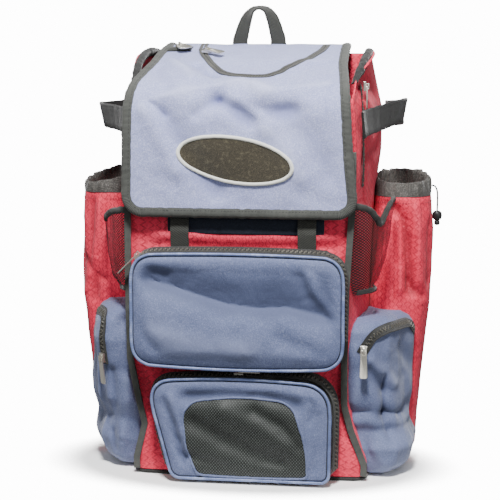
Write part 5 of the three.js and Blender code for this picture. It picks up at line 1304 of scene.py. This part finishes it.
def build_sleeve(side):
    s = SIDES[side]
    x, y = SLEEVE_AXIS
    outer = wrap(f"bat_sleeve_{side}", (s * x, y), 9.6, 380.6, 100, 160, (), 1)
    outer[..., 0] -= s * 2.6 * np.clip((184 - np.abs(outer[..., 0])) / 8, 0, 1)
    bm = shell(outer, 2.2)

    def hold(p):
        """Still at its foot, at its rim and where it is sewn to the pack."""
        foot, rim = np.clip((p[:, 2] - 10) / 14, 0, 1), np.clip((382 - p[:, 2]) / 14, 0.25, 1)
        return foot * rim * np.clip((np.abs(p[:, 0]) - 176) / 12, 0, 1)

    rumpled(bm, from_axis(s * 208, 60), SLEEVE_FOLDS[side], 2.6, 44, (1, 1, 0.45), 2.0 + s, hold)
    edge = Route(waist(outer, 374, 0, 1), None, 2.0, True)
    parts = [(bm, RED), seam(edge, 0, 0.9, 4.2, 2.8, DARK_THREAD)]
    piece(f"bat_sleeve_cloth_{side}", parts, [f"bat_sleeve_{side}"])
    cuff = gathered(outer[-1], s)
    piece(f"sleeve_cuff_cloth_{side}", [(cuff, CUFF_CLOTH)], [f"sleeve_cuff_{side}"])


def gathered(ring, s):
    """A cuff drawn up on its cord: uneven pleats, deepest at its edge, that turn over and down inside."""
    spin = np.linspace(0, 2 * math.pi, 260, endpoint=False)
    turns = np.linspace(0, 2 * math.pi, len(ring), endpoint=False)
    ring = np.stack([np.interp(spin, turns, ring[:, k], period=2 * math.pi) for k in range(3)], axis=1)
    middle = ring.mean(axis=0)
    away = unit((ring - middle) * [1, 1, 0])
    waver = np.array([noise.noise(Vector((2.2 * math.cos(a), 2.2 * math.sin(a), s))) for a in spin])
    pleat = np.sin(15 * spin + 3.5 * waver) + 0.45 * np.sin(27 * spin - 4 * waver + s)
    pleat = pleat * (0.45 + 0.55 * (away[:, 1] > -0.3))
    rings, pattern = [], []
    for k, (rise, out, draw) in enumerate(CUFF_ROWS):
        drop = (0.16 * (ring[:, 1] - 60) + (16 / 86 * (ring[:, 0] - middle[0]) if s < 0 else 0)) * rise
        far = out + draw * (1.7 * pleat - 2.2) + 0.8 * waver
        at = ring + away * far[:, None]
        at[:, 2] = 382 + 26 * rise + drop + draw * (0.35 * pleat + 1.6 * waver)
        rings.append(at)
        pattern.append([(a * 42, k * 4.0) for a in np.linspace(0, 2 * math.pi, 261)])
    rings.append(rings[0])
    pattern.append([(a * 42, k * 4.0 + 4) for a in np.linspace(0, 2 * math.pi, 261)])
    return loft(rings[:-1], True, pattern, looped=True)


def build_side_pocket(side):
    s = SIDES[side]
    high = {"left": 229.6, "right": 221.6}[side]
    near = ("pack_body", f"bat_sleeve_{side}")
    x, y = SIDE_POCKET_AXIS
    surface = wrap(f"side_pocket_{side}", (s * x, y), 6.2, high, 100, 190, near, 3)
    bm = shell(surface, None, (0.5, 2.5))
    hold = lambda p: np.clip((p[:, 2] - 6) / 12, 0, 1) * np.clip((232 - p[:, 2]) / 20, 0, 1)
    rumpled(bm, from_axis(s * 175, 0), SIDE_POCKET_FOLDS[side], 2.4, 40, (1, 1, 0.7), 4.0 + s, hold)
    cloth = BVHTree.FromBMesh(bm)
    piece(f"side_pocket_cloth_{side}", [(bm, BLUE)], [f"side_pocket_{side}"])
    route = Route(laid(SIDE_ZIPS[side], cloth), None, 2.0)
    chain = zip_parts(route, 15, 6.0, 0.2, 2.8)
    chain += [seam(route, across, 1.0, 4.2, 2.8, DARK_THREAD) for across in (-6.2, 6.2)]
    piece(f"side_pocket_zip_chain_{side}", chain, [f"side_pocket_zip_{side}"])


def build_net_pocket(side):
    """Net sewn to the pack and the sleeve at its sides, its slack mouth held by an elastic binding."""
    s = SIDES[side]
    fan = {"right": (-118, 46), "left": (134, 298)}[side]
    near = ("pack_body", f"bat_sleeve_{side}")
    turns = 70
    share = np.linspace(0, 1, turns)
    across = share if s > 0 else 1 - share
    slack = 30 * np.exp(-(((across - 0.42) / 0.24) ** 2)) if s > 0 else 10 + 26 * across
    x, y = NET_AXIS
    foot, rim = 256.5 + (9 * across if s > 0 else 0), 383 - slack
    surface = wrap(f"mesh_pocket_{side}", (s * x, y), foot, rim, 50, turns, near, 3, fan)
    rings = list(surface)
    pattern = [[(k * 1.6, row[k, 2]) for k in range(turns)] for row in surface]
    bm = faced(loft(rings, False, pattern), (s, -1, 0))
    rumpled(bm, from_axis(s * 150, 20), (), 2.6, 30, (1, 1, 0.5), 6.0 + s)
    bmesh.ops.solidify(bm, geom=bm.faces, thickness=0.7 * MM)
    span = surface[1, 1:44:3] if s > 0 else surface[1, 26:-1:3]
    foot = Route([[*p, s, -1, 0] for p in span], None, 2.0)
    lower = band(foot, strap_section(7, 1.6), None, 0.6, s)
    piece(f"net_pocket_{side}", [(bm, NET), (lower, DARK)], [f"mesh_pocket_{side}"])
    top = surface[-1]
    middle = np.array([s * 160, 0, 0])
    rows = [[*p, *((p - middle) * [1, 1, 0])] for p in top[1:-1:3]]
    hem = Route(rows, None, 2.0)
    strip = [(-4.5, 0.6), (-3, 1.6), (0, 1.9), (3, 1.6), (4.5, 0.6), (4.5, -0.9), (3, -1.6), (0, -1.7),
        (-3, -1.6), (-4.5, -0.9)]
    edging = band(hem, strip, None, 1.4, s)
    piece(f"net_pocket_binding_{side}", [(edging, ELASTIC)], [f"mesh_binding_{side}"])


# Straps, bindings and trims


def dressed(name, node, finish, longest=5.0, rounds=2, sharp=60, slack=0.0, body="pack", padding=0.0):
    bm = cloth_copy(node, longest, rounds, sharp)
    if slack:
        rumpled(bm, one_way(*FORWARD), (), slack, 24, EVEN, len(name))
    if padding:
        bm = stuffed(bm, padding)
    box_pattern(bm)
    return piece(name, [(bm, finish)], [node], body, subdivide=1 if padding else 0)


def stuffed(bm, cap):
    """Foam under cloth: the form swells under a little pressure, and no point moves further than the cap."""
    mesh = bpy.data.meshes.new("stuffing")
    bm.to_mesh(mesh)
    bm.free()
    pad = bpy.data.objects.new("stuffing", mesh)
    bpy.context.scene.collection.objects.link(pad)
    even = pad.modifiers.new("even", "REMESH")
    even.mode, even.voxel_size = "VOXEL", 5 * MM
    start = bpy.data.meshes.new_from_object(pad.evaluated_get(bpy.context.evaluated_depsgraph_get()))
    pad.modifiers.clear()
    pad.data = start
    before = np.array([v.co[:] for v in start.vertices])
    cloth = pad.modifiers.new("cloth", "CLOTH")
    cloth.settings.use_pressure, cloth.settings.uniform_pressure_force = True, 4.0
    cloth.settings.effector_weights.gravity = 0
    for step in range(1, 21):
        bpy.context.scene.frame_set(step)
    swollen = bpy.data.meshes.new_from_object(pad.evaluated_get(bpy.context.evaluated_depsgraph_get()))
    move = np.array([v.co[:] for v in swollen.vertices]) - before
    far = np.linalg.norm(move, axis=1, keepdims=True)
    after = before + move * np.minimum(1, cap * MM / np.maximum(far, 1e-9))
    made = bmesh.new()
    made.from_mesh(start)
    for v, p in zip(made.verts, after):
        v.co = p
    bpy.data.objects.remove(pad)
    bpy.context.scene.frame_set(1)
    return made


def build_handle():
    """The carrying loop: its legs broad side on, folded narrow where a hand takes it."""
    legs = [(-29, 556, 0), (-29, 580, 0), (-27.5, 600, 0.05), (-23, 618, 0.2), (-17.5, 633, 0.45),
        (-10, 643, 0.75), (0, 646, 1)]
    rows = [(x, 98.5 + 3 * t, z, -0.5 * t if x else 0, -(1 - 0.75 * t), t) for x, z, t in legs]
    rows += [(-x, y, z, -a, b, c) for x, y, z, a, b, c in rows[-2::-1]]
    route = Route(rows, None, 2.0)
    width = lambda s: 1 - 0.3 * math.sin(math.pi * s) ** 2
    parts = [(band(route, strap_section(25, 2.4), width, 0.7, 5), WEB)]
    parts += [seam(route, across, 1.3, 4.4, 3.0, DARK_THREAD) for across in (-8.0, 8.0)]
    piece("carrying_loop", parts, ["top_handle"])


def build_bat_strap(side):
    """Hook-and-loop webbing that leaves the side panel and comes back to it further behind."""
    s, droop = SIDES[side], {"left": 8, "right": 0}[side]
    root, tail, z = side_of(s, -64, 489), side_of(s, 62, 489), 489
    rows = [
        (root + 5.6, -78, z, 0.1), (root + 6.2, -66, z + 0.5, 0.1), (root + 8.5, -54, z + 2, 0.05),
        (root + 25, -30, z + 7 - droop * 0.3, -0.1),
        (root + 48, -3, z + 14 - droop, -0.2), (root + 55.5, 14, z + 14.5 - droop, -0.2),
        (root + 54, 28, z + 14 - droop, -0.1),
        (tail + 26, 38, z + 11 - droop * 0.5, 0), (tail + 8.5, 53, z + 9, 0), (tail + 6, 70, z + 8.5, 0),
    ]
    spots = [Vector((x, y, height)) for x, y, height, _ in rows]
    ways = []
    for k, (*_, lean) in enumerate(rows):
        along = spots[min(k + 1, len(spots) - 1)] - spots[max(k - 1, 0)]
        ways.append(Vector((-along.y, along.x, 0)).normalized() * -1 + Vector((0, 0, lean)))
    route = Route([(s * p.x, p.y, p.z, s * w.x, w.y, w.z) for p, w in zip(spots, ways)], None, 2.0)
    parts = [(band(route, strap_section(36, 3.2, 0.7), None, 0.5, s), HOOKS)]
    parts += [seam(route, across, 1.7, 4.6, 3.0, DARK_THREAD) for across in (-15.5, 15.5)]
    piece(f"bat_strap_tape_{side}", parts, [f"bat_strap_{side}"])


def build_trims():
    for side, s in SIDES.items():
        dressed(f"front_edge_binding_{side}", f"front_binding_{side}", BINDING, 3.0, 2, 60,
            1.0)
        build_bat_strap(side)
        rows = []
        for z in np.linspace(404, 542, 12):
            y = -57 + 10 * max(0, ((z - 403) / 141 - 0.6) / 0.4)
            rows.append((s * side_of(s, y, z), y, z, s, 0, 0))
        chain = zip_parts(Route(rows, None, 2.0), 16, 6.0, 0.5, 2.8)
        piece(f"pack_zip_chain_{side}", chain, [f"pack_zip_{side}"])
        dressed(f"lid_strap_{side}", f"flap_strap_{side}", WEB, 4.0, 2, 60, 0.6)
        dressed(f"adjusting_web_{side}", f"strap_web_{side}", WEB)
        buckle = bevelled(f"strap_buckle_{side}", 0.9, 2)
        piece(f"buckle_{side}", [(buckle, PLASTIC)], [f"strap_buckle_{side}"])
        pad = dressed(f"shoulder_pad_{side}", f"shoulder_strap_{side}", SPACER, 6.0, 10, 80, padding=5)
    build_handle()
    dressed("panel_under_lid", "under_flap_panel", NAVY)
    pad = dressed("back_cushion", "back_pad", SPACER, 7.0, 8, 70, padding=7)
    dressed("strap_anchor", "strap_yoke", DARK)
    dressed("corner_tab", "flap_corner_tab", WEB)


PULLED_ZIPS = ["flap_zip", "main_zip", "pack_zip_right", "front_pocket_zip", "shoe_pocket_zip"]
PULLED_ZIPS += [f"side_pocket_zip_{side}" for side in SIDES]


def build_hardware():
    for name in PULLED_ZIPS:
        slider = bevelled(f"{name}_slider", 0.5, 2)
        piece(f"{name}_slider_metal", [(slider, SILVER)], [f"{name}_slider"])
        pull = bevelled(f"{name}_pull", 0.3, 2, 0.4)
        piece(f"{name}_pull_metal", [(pull, SILVER)], [f"{name}_pull"], f"{name}_pull")


build_pack()
build_flap()
build_front_pocket()
build_shoe_pocket()
for side in SIDES:
    build_sleeve(side)
    build_side_pocket(side)
    build_net_pocket(side)
build_trims()
build_hardware()
